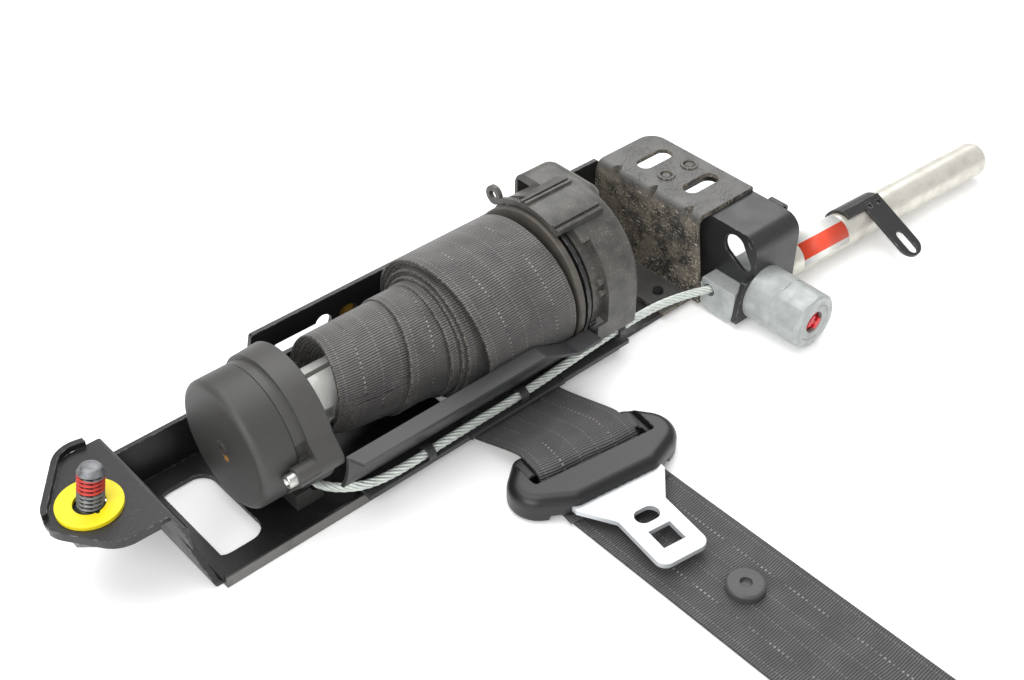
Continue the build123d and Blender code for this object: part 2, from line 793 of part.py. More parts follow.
def mechanism_cover():
    """Moulded cover: round shell, ridged saddle over the flange, hump and eyelet."""
    shell = along_x(cover_profile(), cover_start, cover_end)
    rim = shell.edges().group_by(Axis.X)[-1].sort_by(Axis.Z)[-1]
    shell = fillet(rim, 3.0)
    hump = box(cover_end - 12, hump_end, hump_near, hump_far, axis_z, hump_top)
    rounded = hump.edges().group_by(Axis.X)[-1] + hump.edges().group_by(Axis.Z)[-1].filter_by(Axis.X)
    hump = fillet(rounded, hump_corner)
    inner_hump = box(cover_end - 12, hump_end - cover_wall, hump_near + cover_wall, hump_far - cover_wall,
                     axis_z, hump_top - cover_wall)
    shell = shell + hump
    shell = shell - along_x(cover_profile(cover_wall), cover_start - 1, cover_end - cover_wall)
    shell = shell - (inner_hump & box(0, hump_end, 0, channel_width, 0, hump_top - 4))
    saddle = ring_sector(cover_radius - 0.5, saddle_radius, saddle_from, saddle_to, saddle_start, cover_end - 6)
    shell = shell + saddle
    for angle in (saddle_from + 2, saddle_from + 6, saddle_to - 6, saddle_to - 2):
        shell = shell + ring_sector(saddle_radius - 0.5, saddle_radius + ridge, angle - 1, angle + 1,
                                    saddle_start, cover_end - 6)
    recess = ring_sector(cover_radius - recess_depth, cover_radius + 1, recess_from, recess_to,
                         cover_start - 1, recess_end)
    floor = ring_sector(cover_radius - recess_depth - cover_wall, cover_radius - recess_depth + 0.1,
                        recess_from - 4, recess_to, cover_start, recess_end + cover_wall)
    step = ring_sector(cover_radius - recess_depth - cover_wall, cover_radius - 0.1, recess_from,
                       recess_to, recess_end, recess_end + cover_wall)
    shell = shell - recess + floor + step
    shell = shell + ring_sector(cover_radius - recess_depth, cover_radius + 0.3, recess_from - 1,
                                recess_from + catch_angle, cover_start + 1, recess_end + 0.5)
    for angle in (recess_to - 35, recess_to - 26):
        y, z = polar(cover_radius - recess_depth + 0.6, angle)
        shell = shell + rod_x(recess_end - catch_width, recess_end + 1, catch_width / 2, y, z)
    y, z = polar(eyelet_circle, eyelet_angle)
    eye = rod_x(saddle_start, saddle_start + eyelet_thickness, eyelet_radius, y, z)
    link = ring_sector(cover_radius - 0.5, saddle_radius, eyelet_angle, saddle_from + 1,
                       saddle_start, saddle_start + eyelet_thickness)
    low_side = box(cover_start - 1, cover_end + 1, -10, near_skirt_end, 0, near_skirt_low)
    return shell + eye + link - rod_x(0, saddle_start + 5, eyelet_hole, y, z) - low_side


def sensor_cup_centre():
    """Centre of the ball cup's curve, which the ball swings about."""
    floor = sheet + sensor_floor
    return (sensor_start + sensor_length / 2, axis_y, floor + cup_radius)


def sensor_housing():
    """Box under the control disc, with a dished floor for the ball."""
    x, y, z = sensor_cup_centre()
    low = sheet
    floor = box(sensor_start, sensor_start + sensor_length, y - sensor_half_width, y + sensor_half_width,
                low, low + sensor_floor + 2)
    floor = floor - Pos(x, y, z) * Sphere(cup_radius)
    walls = []
    for side in (-1, 1):
        edge = y + side * sensor_half_width
        inner = edge - side * 1.4
        walls.append(box(sensor_start, sensor_start + sensor_length, min(edge, inner), max(edge, inner),
                         low, low + 15))
    return floor + walls[0] + walls[1]


def sensor_ball():
    """Steel ball that rolls when the car brakes or tips."""
    x, y, z = sensor_cup_centre()
    return Pos(x, y, z - cup_radius + ball_radius + running_gap) * Sphere(ball_radius)


def lever_pivot():
    """Where the sensor lever turns, in X and Z."""
    return (sensor_start + sensor_length - 1.2, lever_low + 1.3)


def sensor_lever():
    """Lever that rests over the ball and lifts towards the control disc."""
    x, z = lever_pivot()
    blade = box(sensor_start + 0.4, x, axis_y - 3.5, axis_y + 3.5, lever_low, lever_low + lever_thickness)
    boss = rod_y(axis_y - sensor_half_width + 1.5, axis_y + sensor_half_width - 1.5, 1.1, x, z)
    finger = box(control_disc_start - 0.2, control_disc_start + control_disc_thickness + 0.2,
                 axis_y - 3.0, axis_y - 0.2, lever_low, lever_reach)
    return blade + boss + finger + box(x - 1.1, x + 1.1, axis_y - 3.5, axis_y + 3.5, lever_low, z)


def rope_arc(inner, outer, x0, x1, y, z):
    """A clip round the rope, open at its lower side."""
    ring = rod_x(x0, x1, outer, y, z) - rod_x(x0 - 1, x1 + 1, inner, y, z)
    return ring - box(x0 - 1, x1 + 1, y - 1.6, y + 1.6, z - 10, z)


def rope_at(x):
    """Where the rope passes at a place along the channel, in Y and Z."""
    for start, end in zip(rope_route, rope_route[1:]):
        if start[0] <= x <= end[0]:
            share = (x - start[0]) / (end[0] - start[0])
            return tuple(start[i] + share * (end[i] - start[i]) for i in (1, 2))
    return rope_route[-1][1:]


def ledge_outline(low, high):
    """The ledge seen from the near side, between two heights over its own line."""
    line = [(guard_start, ledge_top), (ledge_drop_start, ledge_top), (ledge_drop_end, ledge_low),
            (guard_end, ledge_low)]
    return outline([(x, z + high) for x, z in line] + [(x, z + low) for x, z in reversed(line)])


def webbing_guard():
    """Trough round the roll's near side, with its ledge and the rope's tray."""
    trough = ring_sector(guard_radius, guard_radius + guard_wall, guard_top_angle, guard_bottom_angle,
                         guard_start, guard_end)
    outer = axis_y - guard_radius - guard_wall
    above = along_y(ledge_outline(-0.01, flange_radius), outer - 1, axis_y)
    below = box(guard_start - 1, guard_low_start, outer, axis_y, 0, guard_low_corner)
    ledge = along_y(ledge_outline(-ledge_thickness, 0), outer - ledge_width, outer + guard_wall)
    inside = rod_x(guard_start - 1, guard_end + 1, guard_radius)
    slant = along_z(outline([
        (guard_start - 1, outer + guard_wall), (guard_start, outer + guard_wall),
        (guard_start + guard_slant, outer - ledge_width - 1), (guard_start - 1, outer - ledge_width - 1),
    ]), guard_low_corner, ledge_top + 1)
    tray_x = clip_positions[-1] + clip_width
    guard = trough - above - below + (ledge - inside - slant)
    foot_y = polar(guard_radius, guard_bottom_angle)[0] + 0.2
    for x0, x1 in ((guard_low_start, mouth_start - 0.3), (mouth_end + 0.3, tray_x)):
        guard = guard + box(x0, x1, tray_near, tray_far, tray_low, tray_high)
        guard = guard + box(x0, min(x1, guard_end), tray_near, foot_y, tray_low, tray_high)
        guard = guard + box(x0, min(x1, guard_end), 6.0, 9.5, sheet, tray_high)
    return guard


def cable_clips():
    """Small bridges that hold the rope on its tray."""
    clips = []
    for x in clip_positions:
        y, z = rope_at(x)
        inner = rope_radius + clip_gap
        clip = rope_arc(inner, inner + clip_wall, x - clip_width / 2, x + clip_width / 2, y, z)
        leg = box(x - clip_width / 2, x + clip_width / 2, y + inner, y + inner + clip_wall, tray_high, z)
        under = box(x - clip_width, x + clip_width, y - 2 * inner, y + 2 * inner, 0, tray_high)
        clips.append(clip + leg - under)
    return clips


def webbing_mouth():
    """Slot that guides the webbing out over the channel's edge."""
    low = near_wall_height
    bar = box(mouth_start, mouth_end, mouth_near, mouth_far, low, low + mouth_bar)
    long_edges = bar.edges().filter_by(Axis.X)
    bar = fillet(long_edges, mouth_bar * 0.4)
    for x0 in (mouth_start, mouth_end - 1.4):
        bar = bar + box(x0, x0 + 1.4, 0.2, mouth_far, sheet, low + 1)
    return bar


def pretension_cable():
    """The wire rope, swept along its clipped route."""
    points = [Vector(*p) for p in rope_route]
    radii = []
    for before, here, after in zip(points, points[1:], points[2:]):
        turn = (here - before).get_angle(after - here)
        shorter = min((here - before).length, (after - here).length)
        radii.append(0.45 * shorter / tan(radians(turn / 2)))
    path = FilletPolyline(*points, radius=radii)
    rope = sweep(Plane(origin=path @ 0, z_dir=path % 0) * Circle(rope_radius), path=path)
    print("rope radii", [round(r, 1) for r in radii], "length", round(path.length, 1),
          "volume", round(rope.volume, 1), "expected", round(pi * rope_radius ** 2 * path.length, 1))
    return rope


def end_bracket():
    """Folded end bracket: foot, wall, top plate, slots and dimples."""
    profile = outline([
        (wall_start - bracket_foot, sheet), (wall_start + sheet, sheet),
        (wall_start + sheet, bracket_top - sheet), (bracket_end, bracket_top - sheet),
        (bracket_end, bracket_top), (wall_start, bracket_top), (wall_start, 2 * sheet),
        (wall_start - bracket_foot, 2 * sheet),
    ])
    outer = profile.vertices().filter_by(lambda v: v.X < wall_start + 1 and v.Y > bracket_top - 1)
    profile = fillet(outer, bracket_bend)
    inner = profile.vertices().filter_by(
        lambda v: abs(v.X - wall_start - sheet) < 0.1 and v.Y > bracket_top - 2 * sheet)
    profile = fillet(inner, bracket_bend - sheet)
    bracket = along_y(profile, wall_near_low, wall_far)
    edge = along_x(outline([
        (wall_near_low - 1, 2 * sheet), (wall_near_low, 2 * sheet), (plate_near_edge - 1, bracket_top - 8),
        (plate_near_edge, bracket_top + 1), (wall_near_low - 1, bracket_top + 1),
    ]), wall_start - 1, bracket_end + 1)
    foot = box(0, wall_start, wall_near_low - 1, wall_near, 0, 2 * sheet)
    bracket = bracket - edge - foot
    corners = bracket.edges().filter_by(Axis.Z).group_by(Axis.X)[-1]
    bracket = fillet(corners, bracket_corner)
    for y in dart_positions:
        place = Pos(wall_start + 1.2, y, bracket_top - 1.2) * Rot(0, -45, 0) * Rot(45, 0, 0)
        rib = place * Box(dart_length, dart_width + dart_rib, dart_width + dart_rib)
        inside = box(wall_start + sheet - 0.2, wall_start + 12, 0, channel_width, 0, bracket_top - sheet + 0.2)
        bracket = bracket + (rib & inside) - place * Box(dart_length, dart_width, dart_width)
    for x, y in slot_centres:
        bracket = bracket - along_z(slot_outline(x, y, slot_length, slot_width), bracket_top - 5, bracket_top + 1)
    for x, y in dimple_centres:
        bracket = bracket + rod_z(bracket_top, bracket_top + dimple_height, dimple_radius, x, y)
        bracket = bracket - rod_z(bracket_top - 0.4, bracket_top + 1, dimple_radius - 1.2, x, y)
        bracket = bracket + rod_z(bracket_top - 0.5, bracket_top + 0.3, dimple_radius - 2.2, x, y)
    return bracket


def bracket_rivets():
    """Rivets that hold the end bracket's foot to the channel."""
    rivets = []
    for y in (axis_y - rivet_spacing, axis_y, axis_y + rivet_spacing):
        x = wall_start - bracket_foot / 2
        rivets.append(rod_z(2 * sheet, 2 * sheet + rivet_head, rivet_radius, x, y))
    return rivets


def generator_bracket():
    """Saddle under the top plate, folded down into the face that holds the barrel."""
    high = bracket_top - sheet
    profile = outline([
        (saddle_far, high), (generator_near, high), (generator_near, face_low),
        (generator_near + saddle_sheet, face_low), (generator_near + saddle_sheet, high - saddle_sheet),
        (saddle_far, high - saddle_sheet),
    ])
    outer = profile.vertices().filter_by(lambda v: v.X < generator_near + 0.1 and v.Y > high - 0.1)
    profile = fillet(outer, generator_bend)
    inner = profile.vertices().filter_by(
        lambda v: abs(v.X - generator_near - saddle_sheet) < 0.1 and v.Y > high - 2 * saddle_sheet)
    profile = fillet(inner, generator_bend - saddle_sheet)
    bracket = along_x(profile, generator_start, generator_end)
    lobe = outline([
        (face_lobe, face_low), (generator_start + 1, face_low), (generator_start + 1, cheek_low + 6),
        (face_lobe + 4, cheek_low + 6),
    ], 1.5)
    bracket = bracket + along_y(lobe, generator_near, generator_near + saddle_sheet)
    cheek = outline([
        (generator_near + 1, cheek_low), (cheek_step, cheek_low), (cheek_step, cheek_foot),
        (cheek_far, cheek_foot), (cheek_far, high - saddle_sheet - 0.5),
        (generator_near + generator_bend, high - 1), (generator_near + 1, high - generator_bend),
    ])
    hole = ShapeList([Pos(y, z) * Edge.make_circle(radius) for y, z, radius in pear_hole])
    cheek = along_x(cheek - make_hull(hole), generator_start, generator_start + cheek_sheet)
    ear_x = generator_end + ear_radius - ear_wall
    ear = rod_y(ear_y - ear_length / 2, ear_y + ear_length / 2, ear_radius, ear_x, high - ear_radius)
    bracket = bracket + cheek + ear
    bracket = bracket - rod_y(ear_y - ear_length, ear_y + ear_length, ear_radius - ear_wall, ear_x,
                              high - ear_radius)
    for x, y in slot_centres:
        bracket = bracket - along_z(slot_outline(x, y, slot_length + 1, slot_width + 1), high - 6, high + 1)
    return bracket - rod_y(generator_near - 1, generator_near + 4, barrel_neck + 0.3, barrel_x, barrel_z)


def generator_body():
    """Zinc block where the gas, the rope and the tube meet."""
    block = box(body_start, body_end, body_near, body_far, body_low, body_high)
    block = fillet(block.edges().filter_by(Axis.X), 5.0)
    block = block - rod_x(body_start + chamber_wall, body_end - chamber_wall, chamber_radius,
                          chamber_y, chamber_z)
    rope_y, rope_z = rope_at(body_start + chamber_wall / 2)
    block = block - rod_x(body_start - 1, body_start + chamber_wall + 1, rope_port_radius, rope_y, rope_z)
    block = block - box(0, generator_start + saddle_sheet + 0.3, body_near, body_far, body_nose_high, body_high + 1)
    block = block - tube_rod(-chamber_wall, tube_length, tube_radius + 0.02)
    return block - rod_y(generator_near, chamber_y, 3.0, barrel_x, barrel_z)


def generator_barrel():
    """Zinc barrel with flats for a spanner and a recess for the plug."""
    barrel = rod_y(barrel_end, generator_near, barrel_radius, barrel_x, barrel_z)
    rim = barrel.edges().filter_by(GeomType.CIRCLE).sort_by(Axis.Y)[0]
    barrel = chamfer(rim, 1.2)
    prism = Pos(barrel_x, barrel_end - 1, barrel_z) * Rot(-90, 0, 0) * Rot(0, 0, 10) * extrude(
        RegularPolygon(barrel_radius - 0.55, barrel_flats, major_radius=False), barrel_flat_length)
    keep = rod_y(barrel_end + barrel_flat_length - 1, generator_near, barrel_radius + 1, barrel_x, barrel_z)
    barrel = barrel & (prism + keep)
    neck = rod_y(generator_near, body_near, barrel_neck, barrel_x, barrel_z)
    bore = rod_y(barrel_end + plug_recess + 1.5, generator_near - 2, barrel_bore, barrel_x, barrel_z)
    recess = rod_y(barrel_end - 1, barrel_end + plug_recess, barrel_bore + 0.6, barrel_x, barrel_z)
    mouth = rod_y(barrel_end, barrel_end + 8, plug_radius - 1.2, barrel_x, barrel_z)
    passage = rod_y(generator_near - 3, body_near + 1, 3.0, barrel_x, barrel_z)
    return barrel + neck - bore - recess - mouth - passage


def gas_generator():
    """Cartridge in the barrel's bore."""
    can = rod_y(barrel_end + plug_recess + 1.6, generator_near - 2.1, cartridge_radius, barrel_x, barrel_z)
    return chamfer(can.edges().filter_by(GeomType.CIRCLE), 0.8)


def igniter_plug():
    """Two-lobed connector plug in the barrel's recess."""
    ring = Circle(plug_radius + 1.6) - Circle(plug_radius + 0.6)
    lobes = Pos(0, 2.2) * Circle(2.9) + Pos(0, -2.2) * Circle(2.9) + Rectangle(7.0, 2.2)
    base = Circle(plug_radius + 1.6)
    place = Pos(barrel_x, barrel_end + plug_recess, barrel_z) * Rot(90, 0, 0)
    return place * (extrude(base, 0.8) + extrude(ring, 2.2) + extrude(lobes, plug_recess - 0.4))


def pretension_tube():
    """Drawn steel tube that the piston runs in."""
    return tube_rod(0, tube_length, tube_radius) - tube_rod(-1, tube_length + 2, tube_inner_radius)


def tube_end_cap():
    """Crimped end of the tube, with its small nub."""
    end = tube_rod(tube_length, tube_crimp, tube_radius)
    rim = end.edges().filter_by(GeomType.CIRCLE).sort_by(Axis.X)[-1]
    end = fillet(rim, 4.5)
    return end + tube_rod(tube_length + tube_crimp - 1, nub_length + 1, nub_radius)


def piston():
    """Piston that the gas drives along the tube."""
    body = tube_rod(piston_from_start, piston_length, piston_radius)
    groove = tube_rod(piston_from_start + 3, seal_width, piston_radius + 1)
    groove = groove - tube_rod(piston_from_start, piston_length, piston_radius - 1.6)
    bore = tube_rod(piston_from_start - 1, ferrule_length + 1 - 2, ferrule_radius + 0.02)
    return body - groove - bore


def piston_seal():
    """Ring in the piston's groove."""
    ring = tube_rod(piston_from_start + 3.1, seal_width - 0.2, seal_radius)
    return ring - tube_rod(piston_from_start, piston_length, piston_radius - 1.55)


def cable_ferrule():
    """Swaged sleeve on the rope's end, held in the piston."""
    start = piston_from_start - 7
    return tube_rod(start, ferrule_length + 5, ferrule_radius)


def tube_clamp():
    """Folded sheet that holds the tube's far side, with a slotted arm that leans down."""
    inner = tube_radius + clamp_gap
    ring = tube_rod(clamp_at - clamp_width / 2, clamp_width, inner + clamp_wall)
    near_side = tube_place(clamp_at, -2 * inner) * Rot(clamp_tilt, 0, 0) * Box(
        clamp_width + 1, 4 * inner, 4 * inner)
    lean = tube_place(clamp_at) * Rot(clamp_tilt, 0, 0)
    wide = Pos(0, clamp_back / 2) * Rectangle(clamp_width, clamp_back)
    arm_x = (clamp_width - clamp_arm_width) / 2
    reach = clamp_arm_length - clamp_arm_width / 2
    arm_face = wide + Pos(arm_x, -reach / 2 + 0.5) * Rectangle(clamp_arm_width, reach + 1)
    arm_face = arm_face + Pos(arm_x, -reach) * Circle(clamp_arm_width / 2)
    slot = Pos(arm_x, -reach + clamp_slot_back) * Rot(0, 0, 90) * SlotOverall(clamp_slot_length, clamp_slot_width)
    arm_face = arm_face - slot
    for side in (-1, 1):
        arm_face = arm_face - Pos(arm_x + side * lance_spacing / 2, lance_y) * Rectangle(
            lance_width, lance_length)
    blade = extrude(Plane.XY.offset(inner) * arm_face, clamp_wall)
    back = Pos(0, clamp_back - clamp_wall / 2, inner / 2 + clamp_wall / 2) * Box(
        clamp_width, clamp_wall, inner + clamp_wall)
    jaw = ring - near_side
    clear = tube_rod(0, tube_length, inner)
    return jaw + lean * (blade + back) - clear


def strap_side(points):
    """The webbing seen from the side, in Y and Z, as a strip of even thickness."""
    path = FilletPolyline(*[Vector(y, z) for y, z in points], radius=strap_bend)
    return trace(path, strap_thickness)


def webbing_strap():
    """The webbing from under the roll, out of the mouth and along the table."""
    half = strap_thickness / 2
    under = axis_z - sqrt((roll_radius + 0.4 + half) ** 2 - (axis_y - strap_leaves) ** 2)
    route = [
        (strap_leaves, under), (11.0, sheet + 0.4 + half), (-1.5, sheet + 0.4 + half), (-14.0, half),
        (-strap_front_end, half),
    ]
    strip = along_x(strap_side(route), strap_start, strap_start + strap_width)
    stud = rod_z(-1, 5, button_stud + stud_gap, button_x, button_y)
    return strip - stud


def strap_fold():
    """The webbing that rides with the tongue: over its bar and down through its slot."""
    half = strap_thickness / 2
    low = strap_thickness + 0.25 + half
    high = bar_top + 0.3 + half
    route = [(21.0, low), (15.4, high), (slot_rear - 1.1, high), (-1.6, low), (-tongue_front - 2, low)]
    strip = extrude(Plane.YZ.offset(-tongue_half_length) * strap_side(route),
                    2 * tongue_half_length)
    reach = 2 * tongue_half_length
    trim = box(strap_start, strap_start + strap_width, tongue_y - reach, tongue_y + reach, 0, reach)
    return (tongue_place() * strip) & trim


def tongue_body():
    """Moulded grip: one round-ended body with a raised front bar and a lower rear bar."""
    wing_x = tongue_half_length - wing_radius
    wings = [Pos(side * wing_x, -1.5) * Circle(wing_radius) for side in (-1, 1)]
    front = [Pos(side * front_half, front_radius - tongue_front) * Circle(front_radius) for side in (-1, 1)]
    rear = [Pos(side * (wing_x - 2), tongue_rear - rear_radius) * Circle(rear_radius) for side in (-1, 1)]
    seen = make_hull(ShapeList(edge for part in (*wings, *front, *rear) for edge in part.edges()))
    body = along_z(seen, wing_bottom, tongue_top)
    body = fillet(body.edges().group_by(Axis.Z)[-1], tongue_crown)
    body = fillet(body.edges().group_by(Axis.Z)[0], tongue_foot)
    body = body - box(-bar_half_length, bar_half_length, -tongue_front, slot_rear, 0, tongue_bottom)
    body = body - box(-bar_half_length, bar_half_length, slot_rear - 1, tongue_rear, 0, tongue_bottom - 1)
    body = body - box(-slot_half_length, slot_half_length, -slot_front, slot_rear, 0, tongue_top)
    body = body - box(-bar_half_length, bar_half_length, -slot_front, tongue_rear, bar_top, tongue_top)
    pocket = along_z(plate_outline(), plate_low, plate_low + plate_thickness)
    return tongue_place() * (body - pocket)


def plate_outline():
    """The tongue plate seen from above, before its holes."""
    start = -tongue_front
    half = blade_width / 2
    tip = start - blade_length
    shape = outline([
        (-shoulder_width / 2, start + plate_tail), (shoulder_width / 2, start + plate_tail),
        (shoulder_width / 2, start - 1), (shoulder_width / 2 - 3, start - shoulder_length),
        (half, start - neck_length), (half, tip), (-half, tip), (-half, start - neck_length),
        (-shoulder_width / 2 + 3, start - shoulder_length), (-shoulder_width / 2, start - 1),
    ])
    tips = shape.vertices().filter_by(lambda v: v.Y < tip + 0.1)
    return fillet(tips, 4.5)


def tongue_plate():
    """Steel blade with a latch window and an oval hole."""
    start = -tongue_front
    shape = plate_outline()
    hole = Pos(0, start - plate_hole_at) * SlotOverall(plate_hole_length, plate_hole_width)
    latch = Pos(0, start - latch_at) * Rectangle(latch_width, latch_length)
    plate = extrude(Plane.XY.offset(plate_low) * (shape - hole - latch), plate_thickness)
    return tongue_place() * plate


def stop_button_front():
    """Round button that keeps the tongue from sliding down the webbing."""
    disc = rod_z(strap_thickness, button_top, button_radius, button_x, button_y)
    disc = fillet(disc.edges().group_by(Axis.Z)[-1], 1.2)
    return disc - rod_z(button_top - 1.2, button_top + 1, button_hole, button_x, button_y)


def stop_button_back():
    """Stud of the stop button, through the webbing."""
    return rod_z(0.0, strap_thickness, button_stud, button_x, button_y)


def end_anchor_plate():
    """Steel plate at the webbing's sewn end, with a bolt hole."""
    x = strap_start + strap_width / 2
    near = -strap_front_end - end_plate_length + end_loop_bar
    half = end_plate_width / 2
    face = outline([
        (x - strap_width / 2 - 5, -strap_front_end), (x + strap_width / 2 + 5, -strap_front_end),
        (x + strap_width / 2 + 5, -strap_front_end - 9), (x + half, near + 12),
        (x + half, near), (x - half, near), (x - half, near + 12), (x - strap_width / 2 - 5, -strap_front_end - 9),
    ], 4.0)
    face = face - Pos(x, near + half) * Circle(end_plate_hole)
    return along_z(face, 0, end_plate_thickness)


nodes = {
    "base_channel": base_channel(),
    "anchor_bolt": anchor_bolt(),
    "bolt_washer": bolt_washer(),
    "spring_cap": spring_cap(),
    "drum_collar": drum_collar(),
    "housing_screws": Compound(housing_screws()),
    "return_spring": return_spring(),
    "spring_arbor": spring_arbor(),
    "shaft_bushes": Compound(shaft_bushes()),
    "cable_drum": cable_drum(),
    "drum_cable": drum_cable(),
    "spool_core": spool_core(),
    "webbing_roll": webbing_roll(),
    "spool_flange": spool_flange(),
    "ratchet_wheel": ratchet_wheel(),
    "control_disc": control_disc(),
    "locking_pawl": locking_pawl(),
    "pawl_pin": pawl_pin(),
    "side_plate": side_plate(),
    "mechanism_cover": mechanism_cover(),
    "sensor_housing": sensor_housing(),
    "sensor_ball": sensor_ball(),
    "sensor_lever": sensor_lever(),
    "webbing_guard": webbing_guard(),
    "cable_clips": Compound(cable_clips()),
    "webbing_mouth": webbing_mouth(),
    "pretension_cable": pretension_cable(),
    "end_bracket": end_bracket(),
    "bracket_rivets": Compound(bracket_rivets()),
    "generator_bracket": generator_bracket(),
    "generator_body": generator_body(),
    "generator_barrel": generator_barrel(),
    "gas_generator": gas_generator(),
    "igniter_plug": igniter_plug(),
    "pretension_tube": pretension_tube(),
    "tube_end_cap": tube_end_cap(),
    "piston": piston(),
    "piston_seal": piston_seal(),
    "cable_ferrule": cable_ferrule(),
    "tube_clamp": tube_clamp(),
    "webbing_strap": webbing_strap(),
    "strap_fold": strap_fold(),
    "tongue_body": tongue_body(),
    "tongue_plate": tongue_plate(),
    "stop_button_front": stop_button_front(),
    "stop_button_back": stop_button_back(),
    "end_anchor_plate": end_anchor_plate(),
}

# The origin is put under the middle of the whole object, on the surface it lies on
boxes = [shape.bounding_box() for shape in nodes.values()]
middle_x = (min(b.min.X for b in boxes) + max(b.max.X for b in boxes)) / 2
middle_y = (min(b.min.Y for b in boxes) + max(b.max.Y for b in boxes)) / 2
print("origin in the channel's frame", round(middle_x, 4), round(middle_y, 4))
print("lowest point", round(min(b.min.Z for b in boxes), 4))

os.makedirs("parts", exist_ok=True)
for name, shape in nodes.items():
    export_step(Pos(-middle_x, -middle_y, 0) * shape, f"parts/{name}.step")
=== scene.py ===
import json
from math import cos, pi, radians, sin, tau

import bmesh
import bpy
from mathutils import Matrix, Vector, noise


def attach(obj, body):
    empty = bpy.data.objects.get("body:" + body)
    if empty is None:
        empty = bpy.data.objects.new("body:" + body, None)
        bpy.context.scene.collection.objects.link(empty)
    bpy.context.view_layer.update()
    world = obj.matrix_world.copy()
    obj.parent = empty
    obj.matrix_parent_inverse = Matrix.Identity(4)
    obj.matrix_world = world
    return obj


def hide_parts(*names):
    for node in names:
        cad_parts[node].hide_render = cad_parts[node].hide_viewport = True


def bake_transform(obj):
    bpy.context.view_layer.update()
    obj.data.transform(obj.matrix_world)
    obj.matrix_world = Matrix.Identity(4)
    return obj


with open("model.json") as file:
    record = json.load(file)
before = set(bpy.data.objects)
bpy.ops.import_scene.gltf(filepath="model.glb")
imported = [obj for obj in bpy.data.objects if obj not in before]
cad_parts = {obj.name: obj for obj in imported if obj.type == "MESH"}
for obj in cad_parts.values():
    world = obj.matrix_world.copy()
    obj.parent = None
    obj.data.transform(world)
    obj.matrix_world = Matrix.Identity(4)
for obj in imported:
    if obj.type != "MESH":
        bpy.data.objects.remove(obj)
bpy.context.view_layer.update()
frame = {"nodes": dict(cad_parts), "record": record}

nodes = frame["nodes"]

# The flat face that the channel lies on ties the channel's own millimetres to the frame
rest_face = next(m for m in frame["record"]["mounts"] if m["name"] == "channel_underside")
shift = Vector(rest_face["pos_m"]) - Vector((0.090, 0.030, 0.0))
axis_y = 29.6
axis_z = 34.6


def at(x, y, z):
    """A place in the channel's millimetres, as a point of the frame in metres."""
    return shift + Vector((x, y, z)) / 1000


def about_spool(x, radius, angle):
    """A place about the spool's axis, at an angle in radians counted from +Y."""
    return at(x, axis_y + radius * cos(angle), axis_z + radius * sin(angle))


def srgb(text, alpha=1.0):
    """A hex colour as the linear numbers that the shader takes."""
    parts = [int(text[i:i + 2], 16) / 255 for i in (1, 3, 5)]
    return [c / 12.92 if c <= 0.04045 else ((c + 0.055) / 1.055) ** 2.4 for c in parts] + [alpha]


# Materials

def add(tree, kind, inputs=None, **settings):
    """Adds a node with its settings, its values and its links."""
    made = tree.nodes.new(kind)
    for name, value in settings.items():
        setattr(made, name, value)
    for name, value in (inputs or {}).items():
        if isinstance(value, bpy.types.NodeSocket):
            tree.links.new(value, made.inputs[name])
        else:
            made.inputs[name].default_value = value
    return made


def surface(name, colour, metallic, roughness, ior=1.5, **more):
    """A new material: its tree, its shader, and the place on the piece in metres."""
    made = bpy.data.materials.new(name)
    made.use_nodes = True
    made.diffuse_color = srgb(colour)
    tree = made.node_tree
    shader = tree.nodes["Principled BSDF"]
    values = {"Base Color": srgb(colour), "Metallic": metallic, "Roughness": roughness, "IOR": ior}
    values.update(more)
    for key, value in values.items():
        shader.inputs[key].default_value = value
    place = add(tree, "ShaderNodeTexCoord").outputs["Object"]
    return made, tree, shader, place


def per_mm(size):
    """The texture scale that gives features of this many millimetres."""
    return 1000 / size


def spots(tree, place, size, low, high, detail=2.0):
    """A noise of one grain size, cut to a mask from 0 to 1."""
    grain = add(tree, "ShaderNodeTexNoise", {"Vector": place, "Scale": per_mm(size), "Detail": detail})
    return add(tree, "ShaderNodeMapRange", {
        "Value": grain.outputs["Fac"], "From Min": low, "From Max": high,
    }).outputs["Result"]


def blend_colour(tree, share, first, second):
    """Goes from the first colour to the second; either may be a hex colour or a socket."""
    ends = [srgb(c) if isinstance(c, str) else c for c in (first, second)]
    mix = add(tree, "ShaderNodeMix", data_type="RGBA")
    for socket, value in ((0, share), (6, ends[0]), (7, ends[1])):
        if isinstance(value, bpy.types.NodeSocket):
            tree.links.new(value, mix.inputs[socket])
        else:
            mix.inputs[socket].default_value = value
    return mix.outputs[2]


def paint(tree, shader, share, first, second):
    """Gives the shader a colour that goes from the first to the second."""
    tree.links.new(blend_colour(tree, share, first, second), shader.inputs["Base Color"])


def relief(tree, shader, height, distance, edge=None):
    """Fine relief of this many millimetres, over edges rounded by a radius in millimetres."""
    bump = add(tree, "ShaderNodeBump", {"Height": height, "Distance": distance / 1000})
    if edge:
        rounded = add(tree, "ShaderNodeBevel", {"Radius": edge / 1000}, samples=4)
        tree.links.new(rounded.outputs["Normal"], bump.inputs["Normal"])
    tree.links.new(bump.outputs["Normal"], shader.inputs["Normal"])


def worn_edge(tree, radius, low, high):
    """A mask that is 1 along sharp edges: where the rounded normal leaves the face's own."""
    rounded = add(tree, "ShaderNodeBevel", {"Radius": radius / 1000}, samples=4)
    face = add(tree, "ShaderNodeNewGeometry")
    turn = add(tree, "ShaderNodeVectorMath", {0: rounded.outputs["Normal"], 1: face.outputs["Normal"]},
               operation="DOT_PRODUCT")
    return add(tree, "ShaderNodeMapRange", {
        "Value": turn.outputs["Value"], "From Min": high, "From Max": low,
    }).outputs["Result"]


def product(tree, first, second):
    """Two masks multiplied."""
    return add(tree, "ShaderNodeMath", {0: first, 1: second}, operation="MULTIPLY").outputs[0]


